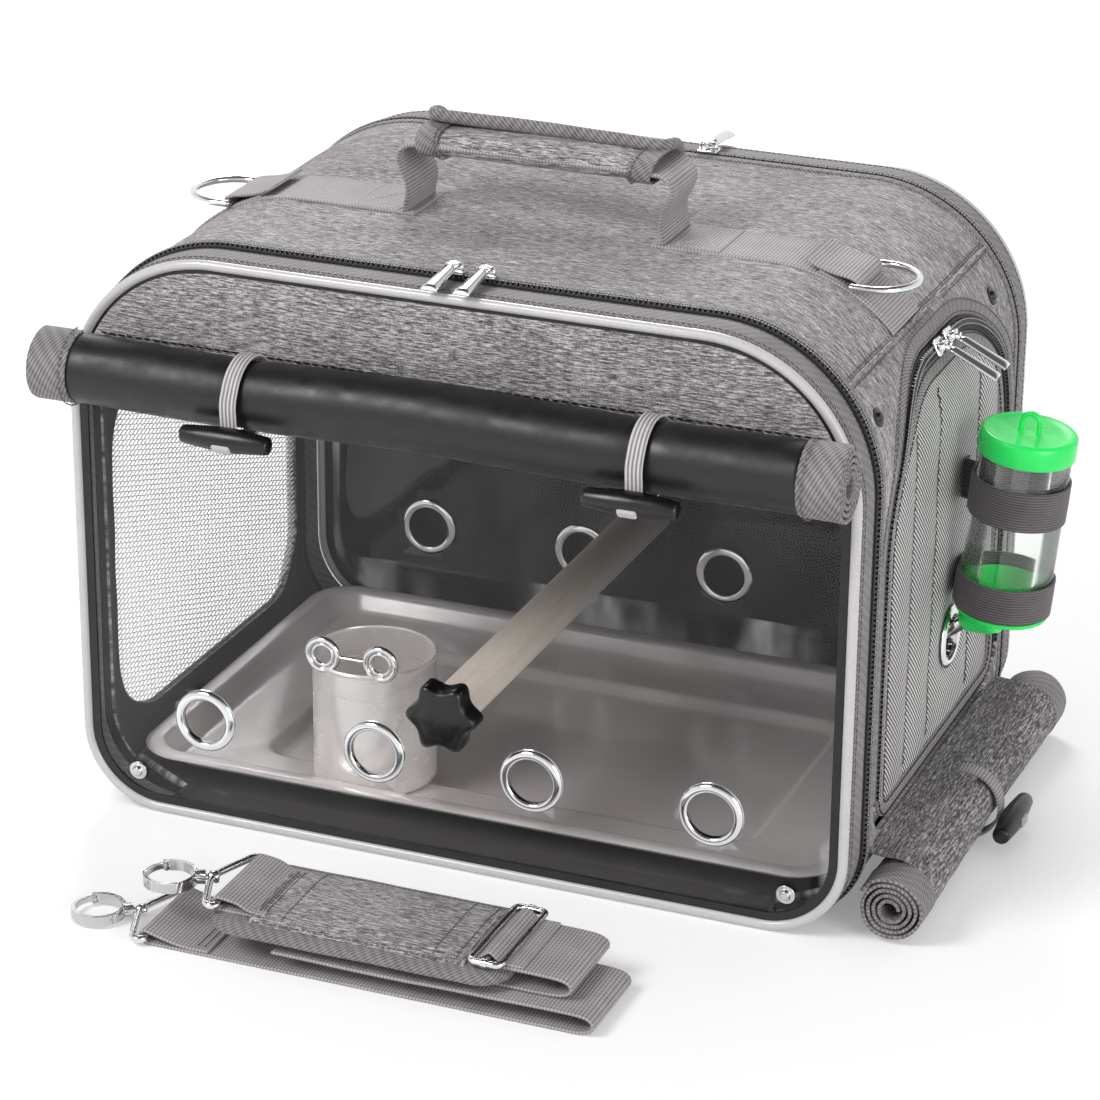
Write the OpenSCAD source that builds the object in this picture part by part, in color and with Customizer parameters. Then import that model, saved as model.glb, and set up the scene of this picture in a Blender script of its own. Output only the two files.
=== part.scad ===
// Travel carrier for a small cage bird: a soft zipped bag on two wire hoops, with clear doors front and
// back, a mesh side door that holds a drinking bottle, a steel tray, a feed cup and a wooden perch.
// Millimetres. The clear front door faces -Y, the bottle is on +X, +Z is up.
// Origin: on the floor, under the middle of the bag.

/* [Bag] */
// Width over the two side walls
bag_w = 400; // [370:5:430]
// Depth between the front and the back hoop
bag_d = 272; // [262:2:310]
// Height over the top panel
bag_h = 294; // [284:2:320]
// Outside radius of the two top corners
corner_top_r = 78; // [70:1:84]
// Outside radius of the two bottom corners
corner_low_r = 42; // [36:1:50]
// Thickness of the padded walls and the top panel
wall_t = 4; // [3:0.5:6]
// Thickness of the stiffened floor board
board_t = 4; // [3:0.5:6]
// Angle of the seam between top panel and side wall, up from level
seam_angle = 40; // [32:1:50]

/* [Doors] */
// Radius of the piped hoop round each clear door
hoop_r = 3; // [2.5:0.25:4]
// Depth of the door from its hoop to the zip
door_depth = 22; // [18:1:28]
// Thickness of the woven tape behind the hoop
tape_t = 2.5; // [2:0.25:3.5]
// Thickness of the clear sheet
window_t = 0.8; // [0.5:0.1:1.5]
// Height that the cloth header takes at the top of the front door
header_drop = 44; // [38:1:59]
// Thickness of the header cloth and of the lowered back shade
cloth_t = 1.6; // [1:0.2:2.5]
// Width of a zip chain
zip_w = 6; // [5:0.5:8]
// Height that a zip chain stands proud
zip_rise = 1.8; // [1.2:0.2:2.5]
// Running gap round pieces that move
gap = 0.3; // [0.2:0.05:0.5]

/* [Eyelets and studs] */
// Radius of an eyelet's hole
eyelet_hole_r = 11.5; // [10:0.5:13]
// Outside radius of an eyelet's flange
eyelet_r = 16; // [15:0.5:18]
// Thickness of an eyelet's flange
eyelet_flange_t = 1.6; // [1:0.2:2.5]
// Height of the row of vent eyelets
eyelet_z = 55; // [48:1:62]
// Spacing of the vent eyelets in the middle of the row
eyelet_mid_gap = 82; // [76:1:90]
// Distance from a middle eyelet to its outer neighbour
eyelet_side_gap = 91; // [84:1:96]
// Radius of a snap stud
stud_r = 4.7; // [4:0.1:5.5]
// Distance of a door's snap stud from the middle
stud_x = 170; // [160:1:172]
// Height of the door's snap studs
stud_z = 21; // [20:1:26]

/* [Side door] */
// Half of the side door's width
side_half = 97; // [90:1:99]
// Offset of the side door's middle towards the back
side_mid_y = 2; // [-2:1:3]
// Height of the side door's hinge line
side_low_z = 42; // [41:1:50]
// Drop from the top of the bag to the top of the side door
side_drop = 45; // [42:1:54]
// Radius of the side door's arched top corners
side_top_r = 76; // [60:1:80]
// Radius of the side door's bottom corners
side_low_r = 16; // [10:1:22]
// Thickness of the mesh panel
side_t = 2; // [1.5:0.25:3]
// Place along the door of the bottle's spout eyelet
spout_y = 18; // [12:1:24]
// Height of the bottle's spout eyelet
spout_z = 95; // [92:1:98]

/* [Net window] */
// Half of the net window's length
net_half = 102; // [90:1:104]
// Height of the net window's lower edge
net_low_z = 26; // [24:1:40]
// Drop from the top of the bag to the top of the net window
net_drop = 88; // [86:1:114]
// Corner radius of the net window
net_r = 34; // [20:1:40]
// Width of the bound edge round the net
net_border = 4; // [3:0.5:6]
// Spacing of the net's strands
net_pitch = 13; // [12:0.5:16]
// Width of a net strand
net_strand = 1.2; // [1:0.1:2]
// Thickness of the net
net_t = 1.2; // [0.8:0.1:2]

/* [Shades] */
// Radius of the rolled front shade
front_roll_r = 18.5; // [16:0.5:20]
// Length of the rolled front shade
front_roll_len = 402; // [394:2:430]
// Drop from the top of the bag to the axis of the front roll
front_roll_drop = 54; // [48:1:62]
// Radius of the rolled side shade
side_roll_r = 17; // [14:0.5:19]
// Length of the rolled side shade
side_roll_len = 256; // [230:2:260]
// Radius of the hollow in the middle of a roll
roll_core_r = 4; // [3:0.5:6]
// Length of the bound edge at a roll's end
roll_edge = 20; // [14:1:26]
// Thickness of that bound edge
roll_edge_t = 0.8; // [0.5:0.1:1.2]
// Thickness of the elastic ties
tie_t = 1.4; // [1:0.1:2]
// Width of the elastic ties
tie_w = 9; // [7:0.5:12]
// Distance of each front tie from the middle between them
tie_x = 100; // [95:1:104]
// How far the front ties sit nearer to the bottle's side
tie_shift = 6; // [0:1:8]
// Angle by which the front toggles hang forward of straight down
tie_lean = 58; // [25:1:62]
// Place of the side tie along the roll
side_tie_y = -2; // [-10:1:10]
// Length of a toggle
toggle_len = 45; // [40:1:52]
// Radius of a toggle
toggle_r = 6; // [4.5:0.25:6.25]

/* [Handle] */
// Distance of the handle's middle from the bag's middle, to the front
handle_y = -22; // [-28:1:0]
// Width of the handle webbing
handle_w = 40; // [34:1:46]
// Half of the distance between the handle's legs
handle_half = 67; // [60:1:72]
// Length of a leg between its two folds
leg_len = 30; // [26:1:38]
// Thickness of a leg
leg_t = 2.4; // [2:0.2:3]
// Distance from a leg to the near end of the padded grip
grip_inset = 11.5; // [10.5:0.5:18]
// Height of the padded grip
grip_h = 14; // [12:0.5:15]
// Thickness of the bound cover that lies over the back half of the grip
grip_cover_t = 5; // [3:0.5:6]
// Thickness of the flat webbing on the top panel
web_t = 1.6; // [1.2:0.1:2]
// Angle round the corner at which a ring's bar lies
ring_angle = 28; // [24:1:32]
// Inside half-width of a carrying ring
ring_half = 20; // [18.5:0.5:23]
// Radius of a carrying ring's wire
ring_wire_r = 1.75; // [1.5:0.25:2.25]
// Straight part of a carrying ring's sides
ring_side = 6; // [4:0.5:8]
// Downward tilt of a resting ring past the slope it lies on
ring_droop = -28; // [-32:1:9]

/* [Perch] */
// Radius of the wooden perch
perch_r = 11; // [9:0.5:12]
// Height of the perch
perch_z = 86; // [80:1:92]
// Height of the lowered back shade's hem over the bag's bottom
back_shade_hem_z = 24; // [18:1:36]
// Radius of the fixing studs
fix_r = 3; // [2.5:0.25:3.5]
// Depth that a fixing stud reaches into the perch
fix_depth = 5; // [4:0.5:6]
// Play round a fixing stud, which lets it leave along the door's arc
fix_play = 0.5; // [0.45:0.05:0.8]
// Radius to the tips of the knob's lobes
knob_r = 18; // [16:0.5:20]
// Thickness of the knob
knob_t = 12; // [10:0.5:14]

/* [Tray and cup] */
// Length of the tray
tray_w = 370; // [350:2:372]
// Depth of the tray front to back
tray_d = 236; // [220:2:250]
// Corner radius of the tray
tray_r = 24; // [18:1:30]
// Height of the tray's rim
tray_h = 17; // [14:0.5:20]
// Width of the tray's rim
tray_rim = 9; // [8:0.5:12]
// Thickness of the tray's steel
tray_t = 1; // [0.8:0.1:1.4]
// Length of the tray's sunk middle
sunk_w = 262; // [240:2:270]
// Depth of the sunk middle front to back
sunk_d = 146; // [130:2:150]
// Height of the ledge over the sunk middle
sunk_h = 5.5; // [5:0.5:7]
// Radius of the feed cup
cup_r = 31; // [28:0.5:33]
// Height of the feed cup
cup_h = 66; // [52:1:70]
// Wall of the feed cup
cup_t = 1; // [0.8:0.1:1.4]
// Place of the cup across the bag
cup_x = -69; // [-80:1:-56]
// Distance of the cup's axis from the front edge of the tray
cup_inset = 44; // [42:1:46]
// Radius to the wire of a cup hanger ring
hanger_r = 8; // [6:0.2:8.4]
// Radius of the hanger's wire
hanger_wire_r = 1.7; // [1.3:0.1:2]
// Half of the distance between the hanger rings
hanger_half = 15.5; // [13:0.5:18]

/* [Bottle] */
// Outside radius of the bottle
bottle_r = 22.3; // [21:0.1:23]
// Wall of the bottle
bottle_t = 1.3; // [1:0.1:2]
// Height of the bottle
bottle_h = 88; // [84:1:96]
// Outward lean of the bottle
bottle_lean = 5.5; // [4:0.5:7]
// Place of the bottle along the side door
bottle_y = 14; // [10:1:20]
// Height of the bottle's base
bottle_z = 117; // [115:1:120]
// Outside radius of the screw cap
cap_r = 23.6; // [23:0.1:25]
// Height of the screw cap
cap_h = 12; // [10:0.5:14]
// Thickness of the elastic bands round the bottle
band_t = 1.4; // [1:0.1:1.8]
// Width of the upper band
band_up_w = 20; // [16:0.5:22]
// Width of the lower band
band_low_w = 17; // [14:0.5:19]
// Height of the upper band over the bottle's base
band_up_h = 50; // [44:1:50]
// Radius of the spout's steel tube
tube_r = 3.5; // [3:0.25:4.5]

/* [Zip sliders] */
// Length of a slider
slider_len = 11; // [9:0.5:13]
// Width of a slider
slider_w = 8.5; // [7:0.5:10]
// Thickness of a slider's plate
slider_t = 1.6; // [1.2:0.1:2]
// Length of a pull
pull_len = 30; // [22:1:32]
// Width of a pull
pull_w = 8; // [5:0.5:8.5]
// Thickness of a pull
pull_t = 2.2; // [1.8:0.1:3]
// Radius of a slider's bail
bail_r = 0.9; // [0.7:0.1:1.1]
// Droop of a resting front or back pull
pull_droop = 5; // [2:1:7]
// Distance of each front slider from the middle
front_slider_x = 8; // [7:0.5:12]
// Distance of each side slider from the middle of the side door
side_slider_y = 8; // [7:0.5:9]
// Droop of a resting side pull
side_pull_droop = -37; // [-42:1:14]
// Place of the back slider
back_slider_x = 34; // [0:1:60]

/* [Shoulder strap] */
// Width of the strap's webbing
strap_w = 48; // [38:1:52]
// Thickness of the strap's webbing
strap_t = 1.8; // [1.4:0.1:2.2]
// Distance of the upper layers from the bag's middle, to the front
strap_y = -230; // [-240:1:-228]
// How far the lower layers lie further forward
strap_shift = -9; // [-12:1:-6]
// Place of the upper fold along the bag
upper_fold_x = 104; // [100:1:110]
// Place of the lower fold along the bag
lower_fold_x = 118; // [116:1:126]
// Outside radius of the folds
fold_r = 5.4; // [5:0.1:6]
// Length of the shoulder pad
pad_len = 150; // [130:2:154]
// Width of the shoulder pad
pad_w = 70; // [66:1:80]
// Thickness of the shoulder pad
pad_t = 6.6; // [5.5:0.1:8]
// Place of the pad's middle along the bag
pad_x = 4; // [0:1:6]
// Length of the cloth sleeve on the pad
sleeve_len = 106; // [90:2:112]
// Radius of the wire of the strap's rings and slide
wire_r = 1.9; // [1.6:0.1:2.1]
// Place of the upper ring's bar along the bag
ring_b_x = -67; // [-70:1:-64]
// Place of the lower ring's bar along the bag
ring_a_x = -101; // [-106:1:-98]
// Length of a strap ring from its bar to its eye
ring_reach = 14; // [13:0.5:18]
// Outside radius of a hook's loop
hook_r = 13; // [12:0.25:14]
// Thickness of a hook's loop
hook_t = 2; // [1.6:0.1:2.4]
// Height of a hook's loop
hook_h = 5; // [4:0.5:6]
// Angle along the loop that a hook's gate takes
gate_angle = 70; // [50:5:80]
// Angle by which the hooks lie turned to the front
hook_turn = 22; // [0:1:30]

/* [Hidden] */
$fn = 64;

heather = [0.50, 0.47, 0.48];
lining = [0.23, 0.19, 0.19];
tape = [0.42, 0.38, 0.38];
webbing = [0.47, 0.44, 0.44];
chrome = [0.80, 0.80, 0.82];
silver = [0.74, 0.73, 0.74];
black = [0.06, 0.06, 0.06];
green = [0.10, 0.92, 0.28];
clear = [0.85, 0.86, 0.87, 0.35];

// Places that follow from the bag's size
half_w = bag_w / 2;
front_y = -bag_d / 2;
zip_y = front_y + door_depth;
shell_y = zip_y + zip_w / 2;
corner_x = half_w - corner_top_r;
corner_z = bag_h - corner_top_r;
sill_half = half_w - corner_low_r;
window_inset = 2 * hoop_r + gap;
pane_y = front_y - window_t / 2;
far = bag_w;

// Heights that hang from the top of the bag
header_z = bag_h - header_drop;
side_top_z = bag_h - side_drop;
net_top_z = bag_h - net_drop;
front_roll_z = bag_h - front_roll_drop;

// Places on the side door
side_arc = asin((side_top_z + zip_w / 2 - corner_z) / corner_top_r);
stud_arc = asin((side_top_z - corner_z) / corner_top_r);
stud_front_y = side_mid_y - side_half - 3;
stud_back_y = side_mid_y + side_half - 13;
bottle_x = half_w + bottle_r + band_t + 2.4;
band_low_h = 1;

// Heights in the tray
tray_z = board_t + gap;
ledge_z = tray_z + sunk_h + tray_t;
cup_z = ledge_z + gap;
cup_y = cup_inset - tray_d / 2;

// Places on the handle
leg_z = bag_h + web_t + gap + leg_t / 2;
grip_z = leg_z + leg_len;
tongue_z = grip_z + leg_t / 2 + gap;
keeper_r = ring_wire_r + gap + web_t;
knob_boss_t = 3;
knob_crown_t = 1.6;
keeper_half = ring_half - ring_wire_r - gap;
keeper_len = 18;
bar_arc_r = corner_top_r + web_t + keeper_r - 0.4;
bar_x = corner_x + bar_arc_r * sin(ring_angle);
bar_z = corner_z + bar_arc_r * cos(ring_angle);

// Radius of the eye of a pull, and the bail's height over the slider's underside
eye_r = bail_r + gap + 1.1;
bail_h = slider_t + eye_r + gap;

// Layers of the folded strap, counted up from the floor
lower_top_z = 2 * fold_r - strap_t;
return_z = 2 * fold_r + gap;
pad_z = return_z + strap_t + gap;
upper_z = pad_z + pad_t + gap;
strap_loop_r = wire_r + gap + strap_t;
ring_a_z = strap_loop_r;
ring_b_z = upper_z + strap_loop_r;
upper_fold_r = (upper_z + strap_t - return_z) / 2;

// Places on a ring's swivel pin and on the hook that turns on it
pin_start = wire_r + 1;
pin_r = 1.4;
pin_len = 4;
pin_head = 1.2;
barrel_r = 3.4;
hook_reach = pin_start + pin_len + hook_r + 0.6;
gate_start = 105;
gate_mid_r = hook_r - hook_t / 2;
gate_play = 8;
knuckle_r = hook_t / 2 + 0.3;
knuckle_gap = asin((knuckle_r + gap) / gate_mid_r);

// Places of the strap's slide
slide_x = pad_x + sleeve_len / 2 + 4;
slide_len = 15;
slide_z = upper_z + strap_t + gap + wire_r;

// ---- Shapes that repeat ----

// Extrudes an outline in X and Z from y0 to y1
module along_y(y0, y1) {
    translate([0, y1, 0])
        rotate([90, 0, 0])
            linear_extrude(y1 - y0)
                children();
}

// Extrudes an outline in Y and Z from x0 to x1
module along_x(x0, x1) {
    translate([x0, 0, 0])
        rotate([90, 0, 90])
            linear_extrude(x1 - x0)
                children();
}

// Rectangle with two round top corners and two round bottom corners
module arched(x0, x1, z0, z1, top_r, low_r) {
    for (side = [[x0, 1], [x1, -1]]) {
        translate([side[0] + side[1] * top_r, z1 - top_r])
            circle(top_r, $fn = 128);
        translate([side[0] + side[1] * low_r, z0 + low_r])
            circle(low_r, $fn = 128);
    }
    translate([x0, z0 + low_r])
        square([x1 - x0, z1 - z0 - top_r - low_r]);
    translate([x0 + top_r, z0 + low_r])
        square([x1 - x0 - 2 * top_r, z1 - z0 - low_r]);
    translate([x0 + low_r, z0])
        square([x1 - x0 - 2 * low_r, z1 - z0 - top_r]);
}

// The bag's outline seen from the front, drawn in by a distance
module outline(inset) {
    arched(-half_w + inset, half_w - inset, inset, bag_h - inset, corner_top_r - inset, corner_low_r - inset);
}

// Ring between two of those outlines
module outline_ring(outer, inner) {
    difference() {
        outline(outer);
        outline(inner);
    }
}

// The part of the outline that the top panel covers, out to a seam angle
module top_sector(angle) {
    polygon([
        [-corner_x, corner_z], [-corner_x - far * cos(angle), corner_z + far * sin(angle)],
        [-corner_x, 2 * far], [corner_x, 2 * far],
        [corner_x + far * cos(angle), corner_z + far * sin(angle)], [corner_x, corner_z],
    ]);
}

// The part of the outline that the base covers
module base_sector() {
    polygon([
        [-sill_half, corner_low_r], [-sill_half - far, corner_low_r - far],
        [sill_half + far, corner_low_r - far], [sill_half, corner_low_r],
    ]);
}

// The straight stretch at the bottom, where each clear door is hinged
module hinge_stretch() {
    translate([-sill_half, -far])
        square([2 * sill_half, far + corner_low_r / 2]);
}

// Wall section of the right-hand side, from the base's seam to the top's seam
module side_section(outer, inner) {
    intersection() {
        difference() {
            outline_ring(outer, inner);
            top_sector(seam_angle);
            base_sector();
        }
        translate([0, -far / 2])
            square([far, 2 * far]);
    }
}

// Outline of the side door in Y and Z, grown by a distance
module side_outline(grow) {
    arched(side_mid_y - side_half - grow, side_mid_y + side_half + grow, side_low_z - grow,
        side_top_z + grow, side_top_r + grow, side_low_r + grow);
}

// Outline of the net window in Y and Z, grown by a distance
module net_outline(grow) {
    arched(-net_half - grow, net_half + grow, net_low_z - grow, net_top_z + grow, net_r + grow, net_r + grow);
}

// Round piping that follows the outline
module piping(inset, r) {
    x = half_w - inset;
    top_r = corner_top_r - inset;
    low_r = corner_low_r - inset;
    for (side = [-1, 1]) {
        translate([side * x, 0, inset + low_r])
            cylinder(r = r, h = bag_h - 2 * inset - top_r - low_r);
        translate([side * (x - top_r), 0, bag_h - inset - top_r])
            rotate([90, 0, 0])
                rotate([0, 0, side > 0 ? 0 : 90])
                    rotate_extrude(angle = 90, $fn = 128)
                        translate([top_r, 0])
                            circle(r, $fn = 32);
        translate([side * (x - low_r), 0, inset + low_r])
            rotate([90, 0, 0])
                rotate([0, 0, side > 0 ? -90 : 180])
                    rotate_extrude(angle = 90, $fn = 128)
                        translate([low_r, 0])
                            circle(r, $fn = 32);
    }
    translate([-x + top_r, 0, bag_h - inset])
        rotate([0, 90, 0])
            cylinder(r = r, h = 2 * (x - top_r));
    translate([-x + low_r, 0, inset])
        rotate([0, 90, 0])
            cylinder(r = r, h = 2 * (x - low_r));
}

// Hoop of a clear door, at the front
module door_hoop() {
    translate([0, front_y, 0])
        piping(hoop_r, hoop_r);
}

// Woven tape behind a hoop, at the front, sunk into the hoop's piping by a distance
module door_tape(sunk) {
    along_y(front_y + hoop_r - sunk, zip_y - zip_w / 2 - gap)
        difference() {
            outline_ring(0, tape_t);
            hinge_stretch();
        }
}

// Zip chain between a door and the bag's shell, at the front
module door_zip() {
    along_y(zip_y - zip_w / 2, shell_y)
        difference() {
            outline_ring(-zip_rise, wall_t);
            hinge_stretch();
        }
}

// Turns a piece that stands on z = 0 to stand on the front pane, facing out
module on_pane(x, z, out = 0) {
    translate([x, pane_y - out, z])
        rotate([90, 0, 0])
            children();
}

// Places its children at each vent eyelet
module at_eyelets() {
    for (side = [-1, 1]) {
        on_pane(side * eyelet_mid_gap / 2, eyelet_z)
            children();
        on_pane(side * (eyelet_mid_gap / 2 + eyelet_side_gap), eyelet_z)
            children();
    }
}

// Clear sheet of a door, at the front
module door_window(studs) {
    difference() {
        along_y(pane_y, pane_y + window_t)
            outline(window_inset);
        at_eyelets()
            translate([0, 0, -window_t - 1])
                cylinder(r = eyelet_hole_r + 1.1, h = window_t + 2);
        on_pane(0, perch_z)
            translate([0, 0, -window_t - 1])
                cylinder(r = fix_r + fix_play, h = window_t + 2);
        if (studs)
            for (side = [-1, 1])
                on_pane(side * stud_x, stud_z)
                    translate([0, 0, -window_t - 1])
                        cylinder(r = stud_r / 2 + gap, h = window_t + 2);
    }
}

// Rolled metal eyelet that grips a sheet between z = -sheet and z = 0
module eyelet(sheet) {
    difference() {
        union() {
            translate([0, 0, -sheet])
                cylinder(r = eyelet_hole_r + 0.9, h = sheet);
            cylinder(r1 = eyelet_r, r2 = eyelet_r - 0.9, h = eyelet_flange_t);
            translate([0, 0, -sheet - eyelet_flange_t])
                cylinder(r1 = eyelet_r - 0.9, r2 = eyelet_r, h = eyelet_flange_t);
        }
        translate([0, 0, -sheet - eyelet_flange_t - 1])
            cylinder(r = eyelet_hole_r, h = sheet + 2 * eyelet_flange_t + 2);
    }
}

// Snap stud that grips a sheet between z = -sheet and z = 0
module snap_stud(sheet) {
    translate([0, 0, -sheet])
        cylinder(r = stud_r / 2, h = sheet);
    cylinder(r = stud_r, h = 1);
    translate([0, 0, 1])
        cylinder(r1 = stud_r * 0.62, r2 = stud_r * 0.42, h = 1.6);
    translate([0, 0, -sheet - 1])
        cylinder(r = stud_r * 0.8, h = 1);
}

// Perch knob on the front pane, with its fixing stud
module knob_shape() {
    lobe_r = knob_r / 3;
    on_pane(0, perch_z, gap) {
        cylinder(r = knob_r * 0.45, h = knob_boss_t);
        translate([0, 0, knob_boss_t]) {
            cylinder(r = knob_r * 0.82, h = knob_t);
            for (i = [0:5])
                rotate([0, 0, 60 * i])
                    translate([knob_r - lobe_r, 0, 0])
                        cylinder(r = lobe_r, h = knob_t);
            translate([0, 0, knob_t])
                cylinder(r1 = knob_r * 0.66, r2 = knob_r * 0.58, h = knob_crown_t);
        }
        translate([0, 0, -fix_depth - window_t - 2 * gap])
            cylinder(r = fix_r, h = fix_depth + window_t + 2 * gap);
    }
}

// Rolled shade of a given length along X, centred on the origin
module shade_roll(r, len) {
    difference() {
        union() {
            translate([-len / 2, 0, 0])
                rotate([0, 90, 0])
                    cylinder(r = r, h = len);
            for (x = [-len / 2, len / 2 - roll_edge])
                translate([x, 0, 0])
                    rotate([0, 90, 0])
                        cylinder(r = r + roll_edge_t, h = roll_edge);
        }
        translate([-len / 2 - 1, 0, 0])
            rotate([0, 90, 0])
                cylinder(r = roll_core_r, h = len + 2);
    }
}

// Elastic tie round a roll that lies along X, with a neck that goes down through a toggle
module roll_tie(r) {
    reach = r + tie_t + gap + 2 * toggle_r + 1;
    translate([-tie_w / 2, 0, 0])
        rotate([0, 90, 0])
            difference() {
                cylinder(r = r + gap + tie_t, h = tie_w);
                translate([0, 0, -1])
                    cylinder(r = r + gap, h = tie_w + 2);
            }
    difference() {
        translate([-tie_w / 2, -tie_t, -reach - gap])
            cube([tie_w, 2 * tie_t, reach]);
        translate([-tie_w, 0, 0])
            rotate([0, 90, 0])
                cylinder(r = r + gap + tie_t / 2, h = 2 * tie_w);
    }
}

// Toggle that hangs under such a tie
module toggle(r) {
    drop = r + gap + tie_t + gap + toggle_r;
    difference() {
        translate([-toggle_len / 2, 0, -drop])
            rotate([0, 90, 0])
                cylinder(r = toggle_r, h = toggle_len);
        translate([-tie_w / 2 - 1.5, -tie_t - gap, -drop - far / 2])
            cube([tie_w + 3, 2 * (tie_t + gap), far]);
    }
}

// Zip slider on a chain that runs along X, with its pull's side towards -Y
module slider() {
    translate([-slider_len / 2, -slider_w / 2, 0])
        cube([slider_len, slider_w, slider_t]);
    for (side = [-1, 1])
        translate([side * (pull_w / 2 + 0.9) - 0.6, -1.2, slider_t - 0.01])
            cube([1.2, 2.4, bail_h - slider_t + bail_r]);
    translate([-pull_w / 2 - 0.9, 0, bail_h])
        rotate([0, 90, 0])
            cylinder(r = bail_r, h = pull_w + 1.8, $fn = 24);
}

// Pull that hangs on such a slider's bail, drooping by an angle
module pull(droop) {
    translate([0, 0, bail_h])
        rotate([droop, 0, 0])
            difference() {
                union() {
                    translate([-pull_w / 2 + 0.4, 0, 0])
                        rotate([0, 90, 0])
                            cylinder(r = eye_r, h = pull_w - 0.8, $fn = 32);
                    translate([-pull_w / 2, -pull_len + pull_w / 2, -pull_t / 2])
                        cube([pull_w, pull_len - pull_w / 2 - eye_r * 0.7, pull_t]);
                    translate([0, -pull_len + pull_w / 2, -pull_t / 2])
                        cylinder(r = pull_w / 2, h = pull_t);
                }
                translate([-pull_w, 0, 0])
                    rotate([0, 90, 0])
                        cylinder(r = bail_r + gap, h = 2 * pull_w, $fn = 24);
            }
}

// Places its children on the front zip's chain
module on_front_zip(x) {
    translate([x, zip_y, bag_h + zip_rise + gap])
        children();
}

// Places its children on the side zip's chain, which runs over the rounded corner
module on_side_zip(y) {
    r = corner_top_r + zip_rise + gap;
    translate([corner_x + r * cos(side_arc), side_mid_y + y, corner_z + r * sin(side_arc)])
        rotate([0, 90 - side_arc, 0])
            rotate([0, 0, 90])
                children();
}

// Carrying ring: straight bar along Y at the origin, the bow towards +X
module d_ring() {
    for (side = [-1, 1])
        translate([0, side * ring_half, 0])
            rotate([0, 90, 0])
                cylinder(r = ring_wire_r, h = ring_side);
    translate([ring_side, 0, 0])
        rotate([0, 0, -90])
            rotate_extrude(angle = 180)
                translate([ring_half, 0])
                    circle(ring_wire_r, $fn = 32);
    translate([0, ring_half, 0])
        rotate([90, 0, 0])
            cylinder(r = ring_wire_r, h = 2 * ring_half);
    for (side = [-1, 1])
        translate([0, side * ring_half, 0])
            sphere(ring_wire_r, $fn = 32);
}

// Places a carrying ring's frame on the right-hand corner
module at_ring_bar(turn) {
    translate([bar_x, handle_y, bar_z])
        rotate([0, turn, 0])
            children();
}

// Flat webbing from the handle's foot over the corner, and the loop that holds a ring, on the right
module webbing_side() {
    along_y(handle_y - handle_w / 2, handle_y + handle_w / 2)
        intersection() {
            outline_ring(-web_t, 0);
            top_sector(seam_angle);
            translate([handle_half - 6, 0])
                square([far, far]);
        }
    at_ring_bar(ring_angle)
        difference() {
            union() {
                translate([0, keeper_half, 0])
                    rotate([90, 0, 0])
                        cylinder(r = keeper_r, h = 2 * keeper_half);
                translate([-keeper_len, -keeper_half, -keeper_r])
                    cube([keeper_len, 2 * keeper_half, web_t]);
            }
            translate([0, handle_w, 0])
                rotate([90, 0, 0])
                    cylinder(r = ring_wire_r + gap, h = 2 * handle_w);
        }
}

// Padded webbing leg of the handle, at a given place along X
module handle_leg(x) {
    translate([x, handle_y + handle_w / 2, leg_z])
        rotate([90, 0, 0]) {
            cylinder(r = leg_t / 2, h = handle_w);
            translate([0, leg_len, 0])
                cylinder(r = leg_t / 2, h = handle_w);
            translate([-leg_t / 2, 0, 0])
                cube([leg_t, leg_len, handle_w]);
        }
}

// Box with four round corners seen from above
module rounded_block(w, d, r, z0, z1) {
    translate([0, 0, z0])
        linear_extrude(z1 - z0)
            arched(-w / 2, w / 2, -d / 2, d / 2, r, r);
}

// Places its children in the bottle's leaning frame, with z = 0 at its base
module in_bottle_frame() {
    translate([bottle_x, bottle_y, bottle_z])
        rotate([0, bottle_lean, 0])
            children();
}

// Elastic band from the side door round the bottle, between two heights over its base
module bottle_band(h0, w) {
    reach = bottle_r + 30;
    intersection() {
        in_bottle_frame()
            translate([0, 0, h0])
                difference() {
                    union() {
                        cylinder(r = bottle_r + gap + band_t, h = w);
                        translate([-reach, -bottle_r - gap - band_t, 0])
                            cube([reach, 2 * (bottle_r + gap + band_t), w]);
                    }
                    translate([0, 0, -1])
                        cylinder(r = bottle_r + gap, h = w + 2);
                    translate([-reach - 1, -bottle_r - gap, -1])
                        cube([reach + 1, 2 * (bottle_r + gap), w + 2]);
                }
        translate([half_w, -far / 2, 0])
            cube([far, far, 2 * far]);
    }
}

// One run of strap webbing
module strap_run(x0, x1, z, y) {
    translate([x0, y - strap_w / 2, z])
        cube([x1 - x0, strap_w, strap_t]);
}

// Half-round fold of strap webbing, opening towards -X
module strap_fold(x, z, r, y) {
    translate([x, y + strap_w / 2, z])
        rotate([90, 0, 0])
            intersection() {
                difference() {
                    cylinder(r = r, h = strap_w);
                    translate([0, 0, -1])
                        cylinder(r = r - strap_t, h = strap_w + 2);
                }
                translate([0, -2 * r, -1])
                    cube([2 * r, 4 * r, strap_w + 2]);
            }
}

// Loop of strap webbing round a ring's bar
module strap_loop(x, z, y) {
    translate([x, y + strap_w / 2, z])
        rotate([90, 0, 0])
            difference() {
                cylinder(r = strap_loop_r, h = strap_w);
                translate([0, 0, -1])
                    cylinder(r = wire_r + gap, h = strap_w + 2);
            }
}

// Straight wire between two points in a level plane
module wire(a, b, r) {
    d = b - a;
    translate([a[0], a[1], 0])
        rotate([0, 0, atan2(d[1], d[0])])
            rotate([0, 90, 0])
                cylinder(r = r, h = norm(d), $fn = 32);
}

// Straight strip between two points in the plane, as wide as the wire
module flat_bar(a, b) {
    d = b - a;
    translate(a)
        rotate(atan2(d[1], d[0]))
            translate([0, -wire_r])
                square([norm(d), 2 * wire_r]);
}

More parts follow.
